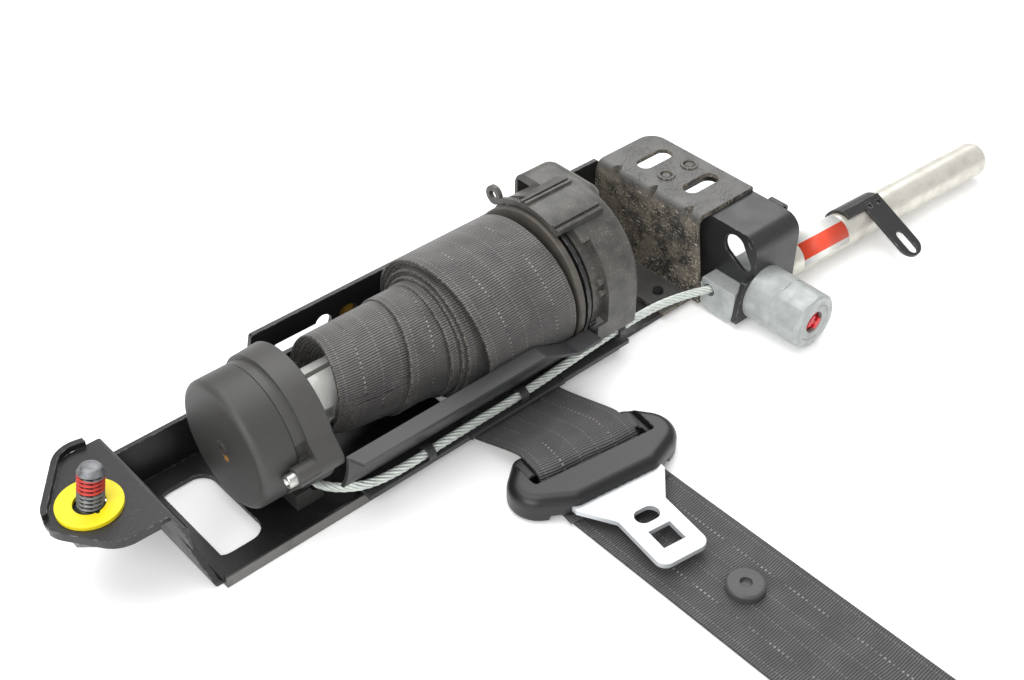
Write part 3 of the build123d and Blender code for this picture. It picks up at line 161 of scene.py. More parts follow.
def coated_steel(name, colour, lint=0.25, wear_and_reflection=0.0):
    """Cathodic dip coat on pressed steel: satin black with grey scuffed edges and settled dust.
    The outside of the near wall, where it faces the front, is lightened to a patchy dull grey as a painted
    reflection, at a share that the last argument gives."""
    made, tree, shader, place = surface(name, colour, 0.0, 0.36, 1.52)
    face = add(tree, "ShaderNodeNewGeometry")
    parts = add(tree, "ShaderNodeSeparateXYZ", {"Vector": face.outputs["Normal"]})
    outer = add(tree, "ShaderNodeMapRange", {
        "Value": parts.outputs["Y"], "From Min": -0.4, "From Max": -0.9}).outputs["Result"]
    across = add(tree, "ShaderNodeSeparateXYZ", {"Vector": place})
    near = add(tree, "ShaderNodeMath", {0: across.outputs["Y"], 1: at(0, 1.0, 0).y}, operation="LESS_THAN")
    # Painted reflection: front-facing faces of the near wall are lightened to a patchy dull grey
    painted_front_reflection = product(tree, product(tree, outer, product(tree, near.outputs[0], wear_and_reflection)),
                   spots(tree, place, 9, 0.1, 0.5, 4.0))
    scuffs = spots(tree, place, 2.4, 0.50, 0.66, 4.0)
    edges = product(tree, worn_edge(tree, 0.7, 0.80, 0.97), scuffs)
    dust = spots(tree, place, 0.9, 0.60, 0.78, 3.0)
    dusty = product(tree, dust, lint)
    colour_now = blend_colour(tree, dusty, colour, "#6f6a62")
    colour_now = blend_colour(tree, painted_front_reflection, colour_now, "#6a6966")
    paint(tree, shader, edges, colour_now, "#9a9894")
    orange_peel = spots(tree, place, 1.6, 0.2, 0.8, 1.0)
    relief(tree, shader, orange_peel, 0.012, edge=0.5)
    patchy = spots(tree, place, 14, 0.3, 0.7)
    rough = add(tree, "ShaderNodeMapRange", {"Value": patchy, "To Min": 0.30, "To Max": 0.46})
    tree.links.new(rough.outputs["Result"], shader.inputs["Roughness"])
    return made


def dusty_steel():
    """The same coat under brown carpet dust and pale fibres, as on the bracket's wall, with faces that look
    up painted lighter as a highlight.
    """
    made, tree, shader, place = surface("coated_steel_with_dust", "#3a3937", 0.0, 0.4, 1.52)
    face = add(tree, "ShaderNodeNewGeometry")
    parts = add(tree, "ShaderNodeSeparateXYZ", {"Vector": face.outputs["Normal"]})
    upright = add(tree, "ShaderNodeMapRange", {
        "Value": parts.outputs["Z"], "From Min": 0.75, "From Max": 0.25,
    }).outputs["Result"]
    crumbs = product(tree, spots(tree, place, 0.9, 0.54, 0.64, 3.0), spots(tree, place, 8, 0.42, 0.62))
    film = product(tree, spots(tree, place, 7, 0.36, 0.62, 5.0), 0.8)
    hair_place = add(tree, "ShaderNodeVectorMath", {0: place, 1: (1.0, 0.14, 1.0)}, operation="MULTIPLY")
    hairs = spots(tree, hair_place.outputs[0], 0.5, 0.65, 0.71, 2.0)
    # Painted highlight: faces that look up are lightened in patches to a grey
    level = add(tree, "ShaderNodeMapRange", {
        "Value": parts.outputs["Z"], "From Min": 0.5, "From Max": 0.95}).outputs["Result"]
    painted_top_highlight = product(tree, level, spots(tree, place, 14, 0.1, 0.6, 4.0))
    base = blend_colour(tree, painted_top_highlight, "#302f2e", "#545350")
    colour = blend_colour(tree, product(tree, film, upright), base, "#7f776a")
    colour = blend_colour(tree, product(tree, crumbs, upright), colour, "#b0a690")
    colour = blend_colour(tree, product(tree, hairs, product(tree, upright, 0.8)), colour, "#ddd6c8")
    scuffs = product(tree, worn_edge(tree, 0.7, 0.80, 0.97), spots(tree, place, 2.4, 0.50, 0.66, 4.0))
    paint(tree, shader, scuffs, colour, "#9a9894")
    rough = add(tree, "ShaderNodeMapRange", {"Value": upright, "To Min": 0.36, "To Max": 0.8})
    tree.links.new(rough.outputs["Result"], shader.inputs["Roughness"])
    relief(tree, shader, crumbs, 0.12, edge=0.5)
    return made


def filled_nylon(name, colour, speck="#4d4a46"):
    """Glass-filled nylon, moulded: warm dark grey, satin, with a fine dry speckle."""
    made, tree, shader, place = surface(name, colour, 0.0, 0.5, 1.53)
    grain = spots(tree, place, 0.45, 0.58, 0.72, 2.0)
    cloud = spots(tree, place, 16, 0.3, 0.7)
    base = blend_colour(tree, product(tree, cloud, 0.5), colour, "#333231")
    paint(tree, shader, product(tree, grain, 0.55), base, speck)
    relief(tree, shader, grain, 0.02, edge=0.6)
    return made


def wax_marked(made, spot, radius, second):
    """Adds a smear of amber wax and a worn crescent beside the boss to a moulding's colour."""
    tree = made.node_tree
    shader = tree.nodes["Principled BSDF"]
    base = shader.inputs["Base Color"].links[0].from_socket
    place = add(tree, "ShaderNodeTexCoord").outputs["Object"]
    ragged = spots(tree, place, 2.2, 0.2, 0.8, 3.0)

    def patch(centre, reach):
        gap = add(tree, "ShaderNodeVectorMath", {0: place, 1: tuple(centre)}, operation="DISTANCE")
        uneven = add(tree, "ShaderNodeMath", {0: ragged, 1: reach * 0.5, 2: gap.outputs["Value"]},
                     operation="MULTIPLY_ADD")
        return add(tree, "ShaderNodeMapRange", {
            "Value": uneven.outputs[0], "From Min": reach, "From Max": reach * 0.8}).outputs["Result"]

    colour = blend_colour(tree, product(tree, patch(spot, radius), 0.9), base, "#a8762c")
    paint(tree, shader, product(tree, patch(second, radius * 0.62), 0.9), colour, "#4b3320")


def moulded_black(name, colour, roughness, dust=0.0):
    """Acetal or polypropylene, moulded: smooth satin black with soft corners, and brown dust in patches."""
    made, tree, shader, place = surface(name, colour, 0.0, roughness, 1.48)
    cloud = spots(tree, place, 11, 0.3, 0.7, 3.0)
    clean = blend_colour(tree, product(tree, cloud, 0.35), colour, "#2a2a2a")
    film = product(tree, spots(tree, place, 7, 0.35, 0.65, 5.0), dust)
    crumbs = product(tree, spots(tree, place, 0.7, 0.58, 0.68, 3.0), film)
    dusty = blend_colour(tree, film, clean, "#6f6a62")
    paint(tree, shader, crumbs, dusty, "#b3a994")
    skin = spots(tree, place, 0.8, 0.2, 0.8)
    relief(tree, shader, skin, 0.008, edge=0.5)
    return made


def smooth_grip():
    """Moulded grip of the tongue: dense satin black that gives long soft highlights."""
    made, tree, shader, place = surface("tongue_grip_plastic", "#131314", 0.0, 0.36, 1.5)
    cloud = spots(tree, place, 7, 0.3, 0.7, 3.0)
    paint(tree, shader, product(tree, cloud, 0.4), "#131314", "#1c1c1d")
    relief(tree, shader, spots(tree, place, 0.7, 0.2, 0.8), 0.006)
    return made


def cast_metal(name, colour, dark, roughness, metallic):
    """Pressure-cast light alloy: dull, cloudy, with a fine cast skin and brighter rubbed edges."""
    made, tree, shader, place = surface(name, colour, metallic, roughness)
    cloud = spots(tree, place, 6, 0.35, 0.65, 4.0)
    wear_and_reflection = product(tree, worn_edge(tree, 0.8, 0.82, 0.98), 0.6)
    base = blend_colour(tree, product(tree, cloud, 0.6), colour, dark)
    paint(tree, shader, wear_and_reflection, base, "#d9dadb")
    skin = spots(tree, place, 0.6, 0.25, 0.75, 3.0)
    relief(tree, shader, skin, 0.02, edge=0.4)
    rough = add(tree, "ShaderNodeMapRange", {
        "Value": cloud, "To Min": roughness - 0.08, "To Max": roughness + 0.1})
    tree.links.new(rough.outputs["Result"], shader.inputs["Roughness"])
    return made


def drawn_tube():
    """Cold-drawn steel tube, zinc plated: warm silver with faint draw lines and dull patches."""
    made, tree, shader, place = surface("drawn_zinc_plated_tube", "#dcd9cf", 0.55, 0.36)
    turned = add(tree, "ShaderNodeMapping", {"Vector": place, "Rotation": (0, 0, radians(3.16)),
                                             "Scale": (0.03, 1.0, 1.0)})
    lines = spots(tree, turned.outputs[0], 0.5, 0.3, 0.7, 3.0)
    stain = spots(tree, place, 9, 0.42, 0.72, 5.0)
    base = blend_colour(tree, product(tree, lines, 0.35), "#e0ddd4", "#c2beb2")
    paint(tree, shader, product(tree, stain, 0.5), base, "#aaa69c")
    rough = add(tree, "ShaderNodeMapRange", {"Value": stain, "To Min": 0.32, "To Max": 0.5})
    tree.links.new(rough.outputs["Result"], shader.inputs["Roughness"])
    relief(tree, shader, lines, 0.01, edge=0.4)
    return made


def wire_zinc():
    """Galvanised rope wire: pale grey-green zinc on each wire, a duller grey in patches."""
    made, tree, shader, place = surface("galvanised_rope_wire", "#d5dbd6", 0.4, 0.42)
    dull = spots(tree, place, 3.0, 0.4, 0.7, 3.0)
    paint(tree, shader, product(tree, dull, 0.45), "#dde3dd", "#a5ada7")
    fine = spots(tree, place, 0.3, 0.3, 0.7)
    relief(tree, shader, fine, 0.02)
    return made


def bright_tongue():
    """Chromed and tumbled blade steel: nearly white, with a soft even gloss."""
    made, tree, shader, place = surface("chromed_blade_steel", "#cfd2d4", 0.35, 0.32)
    cloud = spots(tree, place, 14, 0.3, 0.7)
    paint(tree, shader, product(tree, cloud, 0.4), "#cbced0", "#bbbec1")
    relief(tree, shader, spots(tree, place, 0.5, 0.3, 0.7), 0.004, edge=0.35)
    return made


def plain_metal(name, colour, roughness, dark):
    """Small plated or oiled steel parts: a plain metal sheen with a little tarnish."""
    made, tree, shader, place = surface(name, colour, 0.9, roughness)
    tarnish = spots(tree, place, 2.0, 0.45, 0.75, 3.0)
    paint(tree, shader, product(tree, tarnish, 0.6), colour, dark)
    relief(tree, shader, spots(tree, place, 0.6, 0.3, 0.7), 0.01, edge=0.25)
    return made


def flat_plastic(name, colour, shade, roughness=0.45):
    """Small moulded parts in a plain colour, a touch darker in patches."""
    made, tree, shader, place = surface(name, colour, 0.0, roughness, 1.5)
    cloud = spots(tree, place, 5, 0.3, 0.7, 3.0)
    paint(tree, shader, product(tree, cloud, 0.5), colour, shade)
    relief(tree, shader, spots(tree, place, 0.7, 0.3, 0.7), 0.006, edge=0.25)
    return made


# The weave's own sizes in millimetres: its ribs, its warp ends, its dots and its panels
rib_gap = 1.0
end_gap = 0.8
dot_gap = 1.9
panel_width = 24.5


def polyester_webbing(name, dust, dark, light):
    """Woven polyester belt: straight ribs across it, with a dotted line a quarter in from each edge, and rib
    tops painted lighter as a highlight. The pattern reads the webbing's own lengths across and along, in
    metres."""
    made, tree, shader, place = surface(name, "#3a3838", 0.0, 0.55, 1.56,
                                        **{"Sheen Weight": 0.2, "Sheen Roughness": 0.4})
    woven = add(tree, "ShaderNodeUVMap", uv_map="weave").outputs["UV"]
    axes = add(tree, "ShaderNodeSeparateXYZ", {"Vector": woven})
    across, along = axes.outputs["X"], axes.outputs["Y"]

    def maths(kind, first, second=None):
        values = {0: first} if second is None else {0: first, 1: second}
        return add(tree, "ShaderNodeMath", values, operation=kind).outputs[0]

    def ramp(value, low, high, to_low=0.0, to_high=1.0):
        return add(tree, "ShaderNodeMapRange", {"Value": value, "From Min": low, "From Max": high,
                                                "To Min": to_low, "To Max": to_high}).outputs["Result"]

    # Each rib leans a little one way and back between the dotted lines
    panel = maths("MULTIPLY", maths("SUBTRACT", across, 0.0115), per_mm(panel_width))
    lean = maths("PINGPONG", maths("MULTIPLY", panel, 2.0), 1.0)
    stray = spots(tree, place, 4.5, 0.3, 0.7, 2.0)
    pick = maths("ADD", maths("MULTIPLY", along, per_mm(rib_gap)), maths("MULTIPLY", lean, 0.5))
    pick = maths("ADD", pick, maths("MULTIPLY", stray, 0.22))
    rib = ramp(maths("PINGPONG", pick, 0.5), 0.08, 0.36)
    # Warp ends break each rib into short dashes, half a step on in every other rib
    odd = maths("FRACT", maths("MULTIPLY", maths("FLOOR", pick), 0.5))
    end = maths("PINGPONG", maths("ADD", maths("MULTIPLY", across, per_mm(end_gap)), odd), 0.5)
    dash = ramp(end, 0.0, 0.3, 0.72, 1.0)
    height = product(tree, rib, dash)
    # The dotted line sits on the joint between two panels, with a hollow on each side of it
    joint = maths("PINGPONG", panel, 0.5)
    seam = ramp(joint, 0.022, 0.008)
    dot = maths("GREATER_THAN", maths("PINGPONG", maths("MULTIPLY", along, per_mm(dot_gap)), 0.5), 0.26)
    dots = product(tree, product(tree, seam, dot), spots(tree, place, 6, 0.35, 0.6, 2.0))
    # Two fainter lines run a third of the way into the panels
    faint = ramp(maths("ABSOLUTE", maths("SUBTRACT", joint, 0.33)), 0.014, 0.005)
    dots = maths("ADD", dots, product(tree, product(tree, faint, dot), 0.35))
    hollow = ramp(joint, 0.0, 0.03, 0.45, 1.0)
    height = maths("ADD", product(tree, height, hollow), product(tree, dots, 0.7))
    # Painted highlight and shade: rib tops are lightened, grooves and the hollows beside the dotted lines
    # darkened, more strongly in some patches
    painted_highlight_patches = spots(tree, place, 10, 0.35, 0.7, 3.0)
    glint = product(tree, height, ramp(painted_highlight_patches, 0.0, 1.0, 0.55, 0.95))
    colour = blend_colour(tree, glint, dark, light)
    colour = blend_colour(tree, product(tree, dots, 0.6), colour, "#a5a19c")
    specks = product(tree, spots(tree, place, 0.7, 0.62, 0.72, 2.0), dust)
    colour = blend_colour(tree, specks, colour, "#9b9183")
    # Lint gathers on the two woven edges, whose very ends are dark
    outwards = maths("ABSOLUTE", maths("SUBTRACT", across, 0.0235))
    selvedge = ramp(outwards, 0.0222, 0.0229)
    colour = blend_colour(tree, ramp(outwards, 0.0230, 0.0233), colour, "#0f0e0f")
    fluff = product(tree, product(tree, selvedge, spots(tree, place, 0.8, 0.45, 0.7, 3.0)), 1.6 * dust)
    paint(tree, shader, fluff, colour, "#958c80")
    relief(tree, shader, height, 0.14)
    return made


coat = coated_steel("coated_steel", "#262627")
# The channel's coat takes the painted reflection on its near wall at a share of 0.9
channel_coat = coated_steel("coated_steel_channel", "#1b1b1c", 0.25, 0.9)
dusty_coat = dusty_steel()
cap_nylon = filled_nylon("glass_filled_nylon", "#454443")
end_nylon = filled_nylon("glass_filled_nylon_cap", "#3a3a39")
wax_marked(end_nylon, at(21.9, 27.6, 31.0), 0.0026, at(21.9, 28.4, 35.4))
black_moulding = moulded_black("moulded_acetal_black", "#38383a", 0.42)
cover_moulding = moulded_black("moulded_polypropylene_cover", "#424241", 0.4, 0.34)
button_moulding = moulded_black("moulded_acetal_button", "#494949", 0.42)
grip = smooth_grip()
zinc = cast_metal("pressure_cast_zinc", "#b4b8b7", "#949996", 0.55, 0.35)
core_alloy = cast_metal("pressure_cast_alloy", "#cfcfcb", "#adada8", 0.55, 0.3)
tube_zinc = drawn_tube()
rope_zinc = wire_zinc()
blade_chrome = bright_tongue()
oiled_steel = plain_metal("oiled_dark_steel", "#4a4a4b", 0.42, "#2c2b2a")
dusty_edge = flat_plastic("dusty_flange_steel", "#57534c", "#3a3835", 0.6)
plated_steel = plain_metal("bright_zinc_plated_steel", "#bcbcb8", 0.3, "#84827c")
natural_nylon = flat_plastic("natural_nylon", "#cfcab8", "#b7b19d")
yellow_nylon = flat_plastic("yellow_nylon", "#f4e01c", "#e3c70f", 0.42)
red_nylon = flat_plastic("red_nylon", "#d8232c", "#a3161e", 0.4)
seal_rubber = flat_plastic("nitrile_rubber", "#1c1c1c", "#262626", 0.7)
phosphate = plain_metal("phosphated_bolt_steel", "#86888a", 0.5, "#3a3a3a")
# Painted shade: a darker steel for the faces deep in the bolt's thread grooves
thread_groove_shade = plain_metal("painted_shade_thread_groove", "#2e2e2f", 0.7, "#1c1c1c")
lock_patch = flat_plastic("red_thread_locking_patch", "#cf3a30", "#8f231f", 0.5)
lacquer = flat_plastic("ochre_lacquered_plate", "#c79a3c", "#8f6d26", 0.35)
film_white = flat_plastic("white_film", "#f5f5f1", "#ebebe6", 0.4)
film_band = flat_plastic("orange_red_film", "#f25437", "#e84a30", 0.4)
# In each, the second colour is the painted highlight on the rib tops
belt = polyester_webbing("woven_polyester", 0.1, "#1a191a", "#615f5f")
belt_roll = polyester_webbing("woven_polyester_wound", 0.3, "#191718", "#757270")

finish_of = {
    "base_channel": channel_coat, "anchor_bolt": oiled_steel, "bolt_washer": yellow_nylon,
    "spring_cap": end_nylon, "drum_collar": cap_nylon, "housing_screws": plated_steel,
    "return_spring": oiled_steel, "spring_arbor": natural_nylon, "shaft_bushes": natural_nylon,
    "cable_drum": zinc, "drum_cable": rope_zinc, "spool_core": core_alloy, "webbing_roll": belt_roll,
    "spool_flange": dusty_edge, "ratchet_wheel": oiled_steel, "control_disc": natural_nylon,
    "locking_pawl": oiled_steel, "pawl_pin": plated_steel, "side_plate": coat,
    "mechanism_cover": cover_moulding, "sensor_housing": natural_nylon, "sensor_ball": plated_steel,
    "sensor_lever": natural_nylon, "webbing_guard": black_moulding, "cable_clips": black_moulding,
    "webbing_mouth": black_moulding, "pretension_cable": rope_zinc, "end_bracket": dusty_coat,
    "bracket_rivets": oiled_steel, "generator_bracket": coat, "generator_body": zinc,
    "generator_barrel": zinc, "gas_generator": plated_steel, "igniter_plug": red_nylon,
    "pretension_tube": tube_zinc, "tube_end_cap": tube_zinc, "piston": plated_steel,
    "piston_seal": seal_rubber, "cable_ferrule": plated_steel, "tube_clamp": coat, "webbing_strap": belt,
    "strap_fold": belt, "tongue_body": grip, "tongue_plate": blade_chrome,
    "stop_button_front": button_moulding, "stop_button_back": button_moulding, "end_anchor_plate": coat,
}
for name, made in finish_of.items():
    mesh = nodes[name].data
    mesh.materials.clear()
    mesh.materials.append(made)


# Pieces

def piece(name, mesh, material, body, slot, *stands_for):
    """A finished mesh as an object of the scene, riding on its body."""
    made = bpy.data.objects.new(name, mesh)
    bpy.context.scene.collection.objects.link(made)
    if material:
        mesh.materials.append(material)
    if body:
        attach(made, body)
    if stands_for:
        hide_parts(*stands_for)
    return made


def kept_mesh(name, shape):
    """Turns the faces of a closed shape outwards and keeps it as a mesh."""
    bmesh.ops.recalc_face_normals(shape, faces=shape.faces)
    mesh = bpy.data.meshes.new(name)
    shape.to_mesh(mesh)
    shape.free()
    return mesh


belt_width = 47.0
belt_thick = 1.2


def belt_profile():
    """The webbing's cross-section: the place across, and the height over its middle, all round."""
    edge = 5
    rows = 10
    round_off = belt_thick / 2
    half = belt_width / 2 - round_off
    top = [(-1 + 2 * i / rows) * half for i in range(rows + 1)]
    turned = [(round_off * sin(pi * i / edge), round_off * cos(pi * i / edge)) for i in range(1, edge)]
    ring = [(across, round_off) for across in top]
    ring += [(half + out, height) for out, height in turned]
    ring += [(across, -round_off) for across in reversed(top)]
    ring += [(-half - out, -height) for out, height in turned]
    return ring


def belt_mesh(name, stations):
    """Sweeps the webbing's section through stations of place, across and up.
    The map keeps the webbing's own lengths, and the run's length in metres comes back with the mesh."""
    ring = belt_profile()
    count = len(ring)
    shape = bmesh.new()
    weave = shape.loops.layers.uv.new("weave")
    rows = []
    lengths = [0.0]
    for before, here in zip(stations, stations[1:]):
        lengths.append(lengths[-1] + (here[0] - before[0]).length * 1000)
    for place, across, up in stations:
        rows.append([shape.verts.new(place + (across * s + up * h) / 1000) for s, h in ring])
    for i in range(len(rows) - 1):
        for j in range(count):
            k = (j + 1) % count
            face = shape.faces.new((rows[i][j], rows[i][k], rows[i + 1][k], rows[i + 1][j]))
            face.smooth = True
            for loop, (a, b) in zip(face.loops, ((i, j), (i, k), (i + 1, k), (i + 1, j))):
                loop[weave].uv = ((ring[b][0] + belt_width / 2) / 1000, lengths[a] / 1000)
    for row in (rows[0][::-1], rows[-1]):
        face = shape.faces.new(row)
        for loop in face.loops:
            loop[weave].uv = (0.001, 0.001)
    return kept_mesh(name, shape), lengths[-1] / 1000


roll_end = 170.2
# Each coil of the roll: its radius, the turns that show, the middle and swing of its left edge,
# how far its centre is off the spool's axis at that edge, and how that goes back across its width
roll_coils = ((18.7, 9, 65.4, 4.4, 4.1, 2.7), (22.6, 3, 95.6, 6.0, 1.0, 0.0),
              (24.0, 2, 112.2, 2.0, 0.0, 0.0), (25.6, 2, 116.2, 1.5, 0.0, 0.0),
              (27.8, 3, 117.8, 1.0, 0.4, 0.0), (32.6, 4, 122.4, -3.4, 0.0, 0.0))
turn_step = 1.18
swing_angle = radians(238)
sag_angle = radians(41.6)


def wound_webbing():
    """The turns of the roll, each a sweep of the webbing's section round the core."""
    joined = bmesh.new()
    steps = 96
    sag = Vector((0, cos(sag_angle), sin(sag_angle))) / 1000
    for coil, (radius, turns, middle, swing, off, back) in enumerate(roll_coils):
        for turn in range(turns):
            tightened = turn * turn_step * (off / (off + 2.0))
            stations = []
            for i in range(steps + 1):
                angle = tau * i / steps
                wander = noise.noise(Vector((cos(angle) * 1.3 + coil * 5, sin(angle) * 1.3, turn * 3.1)))
                left = middle - swing * cos(angle - swing_angle) + 0.9 * turn + wander * 0.6
                right = min(left + belt_width, roll_end)
                level = radius - belt_thick / 2 - turn * turn_step + tightened + wander * 0.12
                near = about_spool(left, level, angle) + sag * (off - tightened)
                far = about_spool(right, level + back, angle) + sag * (off - back - tightened)
                out = Vector((0, cos(angle), sin(angle)))
                stations.append(((near + far) / 2, (far - near) / belt_width * 1000, out))
            mesh = belt_mesh("turn", stations)[0]
            joined.from_mesh(mesh)
            bpy.data.meshes.remove(mesh)
    mesh = bpy.data.meshes.new("wound_webbing")
    joined.to_mesh(mesh)
    joined.free()
    piece("wound_webbing", mesh, belt_roll, "spool", "webbing", "webbing_roll")


wound_webbing()


def curve_points(route, order=3):
    """The smooth line that a NURBS spline makes of a route, as points of the frame."""
    line = bpy.data.curves.new("route", "CURVE")
    line.dimensions = "3D"
    spline = line.splines.new("NURBS")
    spline.points.add(len(route) - 1)
    for point, place in zip(spline.points, route):
        point.co = (*at(*place), 1)
    spline.order_u = order
    spline.use_endpoint_u = True
    spline.resolution_u = 24
    holder = bpy.data.objects.new("route", line)
    bpy.context.scene.collection.objects.link(holder)
    bpy.context.view_layer.update()
    mesh = bpy.data.meshes.new_from_object(holder.evaluated_get(bpy.context.evaluated_depsgraph_get()))
    points = [v.co.copy() for v in mesh.vertices]
    bpy.data.objects.remove(holder)
    bpy.data.curves.remove(line)
    bpy.data.meshes.remove(mesh)
    return points


rope_route = ((49.4, 29.6, 10.0), (49.4, 20.5, 10.0), (50.0, 9.5, 10.0), (61.6, -0.4, 10.0),
              (77.0, -2.7, 10.0), (105.0, -1.6, 10.0), (141.0, -2.0, 10.4), (180.0, -0.6, 12.0),
              (216.0, 0.0, 13.2), (236.0, -3.2, 12.8), (252.0, -8.6, 12.0), (267.0, -12.2, 10.6),
              (280.0, -13.33, 10.1), (290.8, -13.93, 10.1))
rope_radius = 1.9
strand_radius = 0.64
strand_lay = 19.0


def spaced(points, gap):
    """Points at even distances along a line of points."""
    out = [points[0]]
    carry = 0.0
    for before, here in zip(points, points[1:]):
        run = (here - before).length
        place = gap - carry
        while place <= run:
            out.append(before.lerp(here, place / run))
            place += gap
        carry = (carry + run) % gap
    return out


def strand_tree(material):
    """Lays strands round a line: copies of the line turned about it, each swept with a round section."""
    tree = bpy.data.node_groups.new("rope_strands", "GeometryNodeTree")
    face = tree.interface
    face.new_socket("Line", in_out="INPUT", socket_type="NodeSocketGeometry")
    for name, value in (("Strand Radius", strand_radius), ("Rope Radius", rope_radius), ("Lay", strand_lay)):
        face.new_socket(name, in_out="INPUT", socket_type="NodeSocketFloat").default_value = value / 1000
    face.new_socket("Strands", in_out="INPUT", socket_type="NodeSocketInt").default_value = 6
    face.new_socket("Geometry", in_out="OUTPUT", socket_type="NodeSocketGeometry")
    given = add(tree, "NodeGroupInput").outputs

    def maths(kind, first, second=0.0):
        return add(tree, "ShaderNodeMath", {0: first, 1: second}, operation=kind).outputs[0]

    def turned(kind, **links):
        made = add(tree, "ShaderNodeVectorMath", operation=kind)
        for socket, value in zip(made.inputs, links.values()):
            tree.links.new(value, socket)
        return made.outputs[0]

    line = add(tree, "GeometryNodeMeshToCurve", {"Mesh": given["Line"]}).outputs["Curve"]
    even = add(tree, "GeometryNodeResampleCurve", {"Curve": line, "Length": 0.001},
               mode="LENGTH").outputs["Curve"]
    copies = add(tree, "GeometryNodeDuplicateElements", {"Geometry": even, "Amount": given["Strands"]},
                 domain="SPLINE")
    along = add(tree, "GeometryNodeSplineParameter").outputs["Length"]
    share = maths("DIVIDE", copies.outputs["Duplicate Index"], given["Strands"])
    angle = maths("MULTIPLY", maths("ADD", maths("DIVIDE", along, given["Lay"]), share), tau)
    up = add(tree, "GeometryNodeInputNormal").outputs["Normal"]
    ahead = add(tree, "GeometryNodeInputTangent").outputs["Tangent"]
    side = turned("CROSS_PRODUCT", first=ahead, second=up)
    circle = maths("SUBTRACT", given["Rope Radius"], given["Strand Radius"])
    offsets = []
    for direction, wave in ((up, "COSINE"), (side, "SINE")):
        reach = maths("MULTIPLY", maths(wave, angle), circle)
        made = add(tree, "ShaderNodeVectorMath", {0: direction, "Scale": reach}, operation="SCALE")
        offsets.append(made.outputs[0])
    offset = turned("ADD", first=offsets[0], second=offsets[1])
    laid = add(tree, "GeometryNodeSetPosition", {"Geometry": copies.outputs["Geometry"], "Offset": offset})
    both = add(tree, "GeometryNodeJoinGeometry")
    for curve in (laid.outputs["Geometry"], even):
        tree.links.new(curve, both.inputs["Geometry"])
    section = add(tree, "GeometryNodeCurvePrimitiveCircle", {
        "Resolution": 10, "Radius": given["Strand Radius"]})
    swept = add(tree, "GeometryNodeCurveToMesh", {
        "Curve": both.outputs["Geometry"], "Profile Curve": section.outputs["Curve"], "Fill Caps": True})
    smooth = add(tree, "GeometryNodeSetShadeSmooth", {"Geometry": swept.outputs["Mesh"]})
    real = add(tree, "GeometryNodeRealizeInstances", {"Geometry": smooth.outputs["Geometry"]})
    dressed = add(tree, "GeometryNodeSetMaterial", {
        "Geometry": real.outputs["Geometry"], "Material": material})
    add(tree, "NodeGroupOutput", {"Geometry": dressed.outputs["Geometry"]})
    return tree


def grown(name, source, tree, **inputs):
    """The plain mesh that a tree makes of a source mesh, with its inputs set by their names."""
    holder = bpy.data.objects.new(name, source)
    bpy.context.scene.collection.objects.link(holder)
    made = holder.modifiers.new(name, "NODES")
    made.node_group = tree
    for item in tree.interface.items_tree:
        if item.in_out == "INPUT" and item.name in inputs:
            made[item.identifier] = inputs[item.name]
    bpy.context.view_layer.update()
    mesh = bpy.data.meshes.new_from_object(holder.evaluated_get(bpy.context.evaluated_depsgraph_get()))
    mesh.name = name
    holder.modifiers.remove(made)
    bpy.data.objects.remove(holder)
    return mesh


def faced_outwards(mesh):
    """Turns every face of a closed mesh outwards."""
    shape = bmesh.new()
    shape.from_mesh(mesh)
    bmesh.ops.recalc_face_normals(shape, faces=shape.faces)
    shape.to_mesh(mesh)
    shape.free()
    return mesh


def stranded_rope():
    """Six strands laid round a core along the rope's smooth line."""
    points = curve_points(rope_route)
    line = bpy.data.meshes.new("rope_line")
    line.from_pydata(points, [(i, i + 1) for i in range(len(points) - 1)], [])
    mesh = faced_outwards(grown("rope_strands", line, strand_tree(rope_zinc)))
    made = piece("rope_strands", mesh, None, "frame", "wire_rope", "pretension_cable")
    length = sum((b - a).length for a, b in zip(points, points[1:]))
    tuple(points[0])
    [tuple(p) for p in points]


stranded_rope()


# Webbing outside the roll

bar_turn = radians(-8.5)
bar_middle = Vector((138.5, -45.0))
strap_middle = 137.5
strap_step = 1.5


def on_tongue(along, height, across=0.0):
    """A place in the tongue's own frame, in the channel's millimetres."""
    return (bar_middle.x + across * cos(bar_turn) - along * sin(bar_turn),
            bar_middle.y + across * sin(bar_turn) + along * cos(bar_turn), height)


def strap_mesh(name, route, turn_to=0.0, turned_at=1.0):
    """A strap swept along a route. Its width starts along +X, and has turned to another direction
    at a share of its length."""
    points = spaced(curve_points(route, 4), strap_step / 1000)
    last = len(points) - 1
    stations = []
    for i, place in enumerate(points):
        part = min(i / last / turned_at, 1.0)
        turn = turn_to * part * part * (3 - 2 * part)
        across = Vector((cos(turn), sin(turn), 0))
        ahead = (points[min(i + 1, last)] - points[max(i - 1, 0)]).normalized()
        up = across.cross(ahead).normalized()
        if up.z < -0.05:
            up = -up
        stations.append((place, across, up))
    return belt_mesh(name, stations)


def strap_to_tongue():
    """The layer that comes out of the mouth, rises to the tongue's bar and goes down through its slot."""
    x = strap_middle
    route = ((x, 18.0, 4.0), (x, 11.0, 3.2), (x, 4.0, 3.0), (x, -3.0, 3.0),
             on_tongue(17.0, 9.0), on_tongue(13.0, 9.5), on_tongue(9.0, 9.5), on_tongue(4.5, 9.6),
             on_tongue(1.6, 8.4), on_tongue(0.4, 5.0), on_tongue(-1.2, 2.3), on_tongue(-5.0, 2.1),
             on_tongue(-20.0, 2.1))
    mesh, length = strap_mesh("strap_to_tongue", route, bar_turn, 0.55)
    made = piece("strap_to_tongue", mesh, belt, None, "webbing", "strap_fold")
    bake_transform(made)


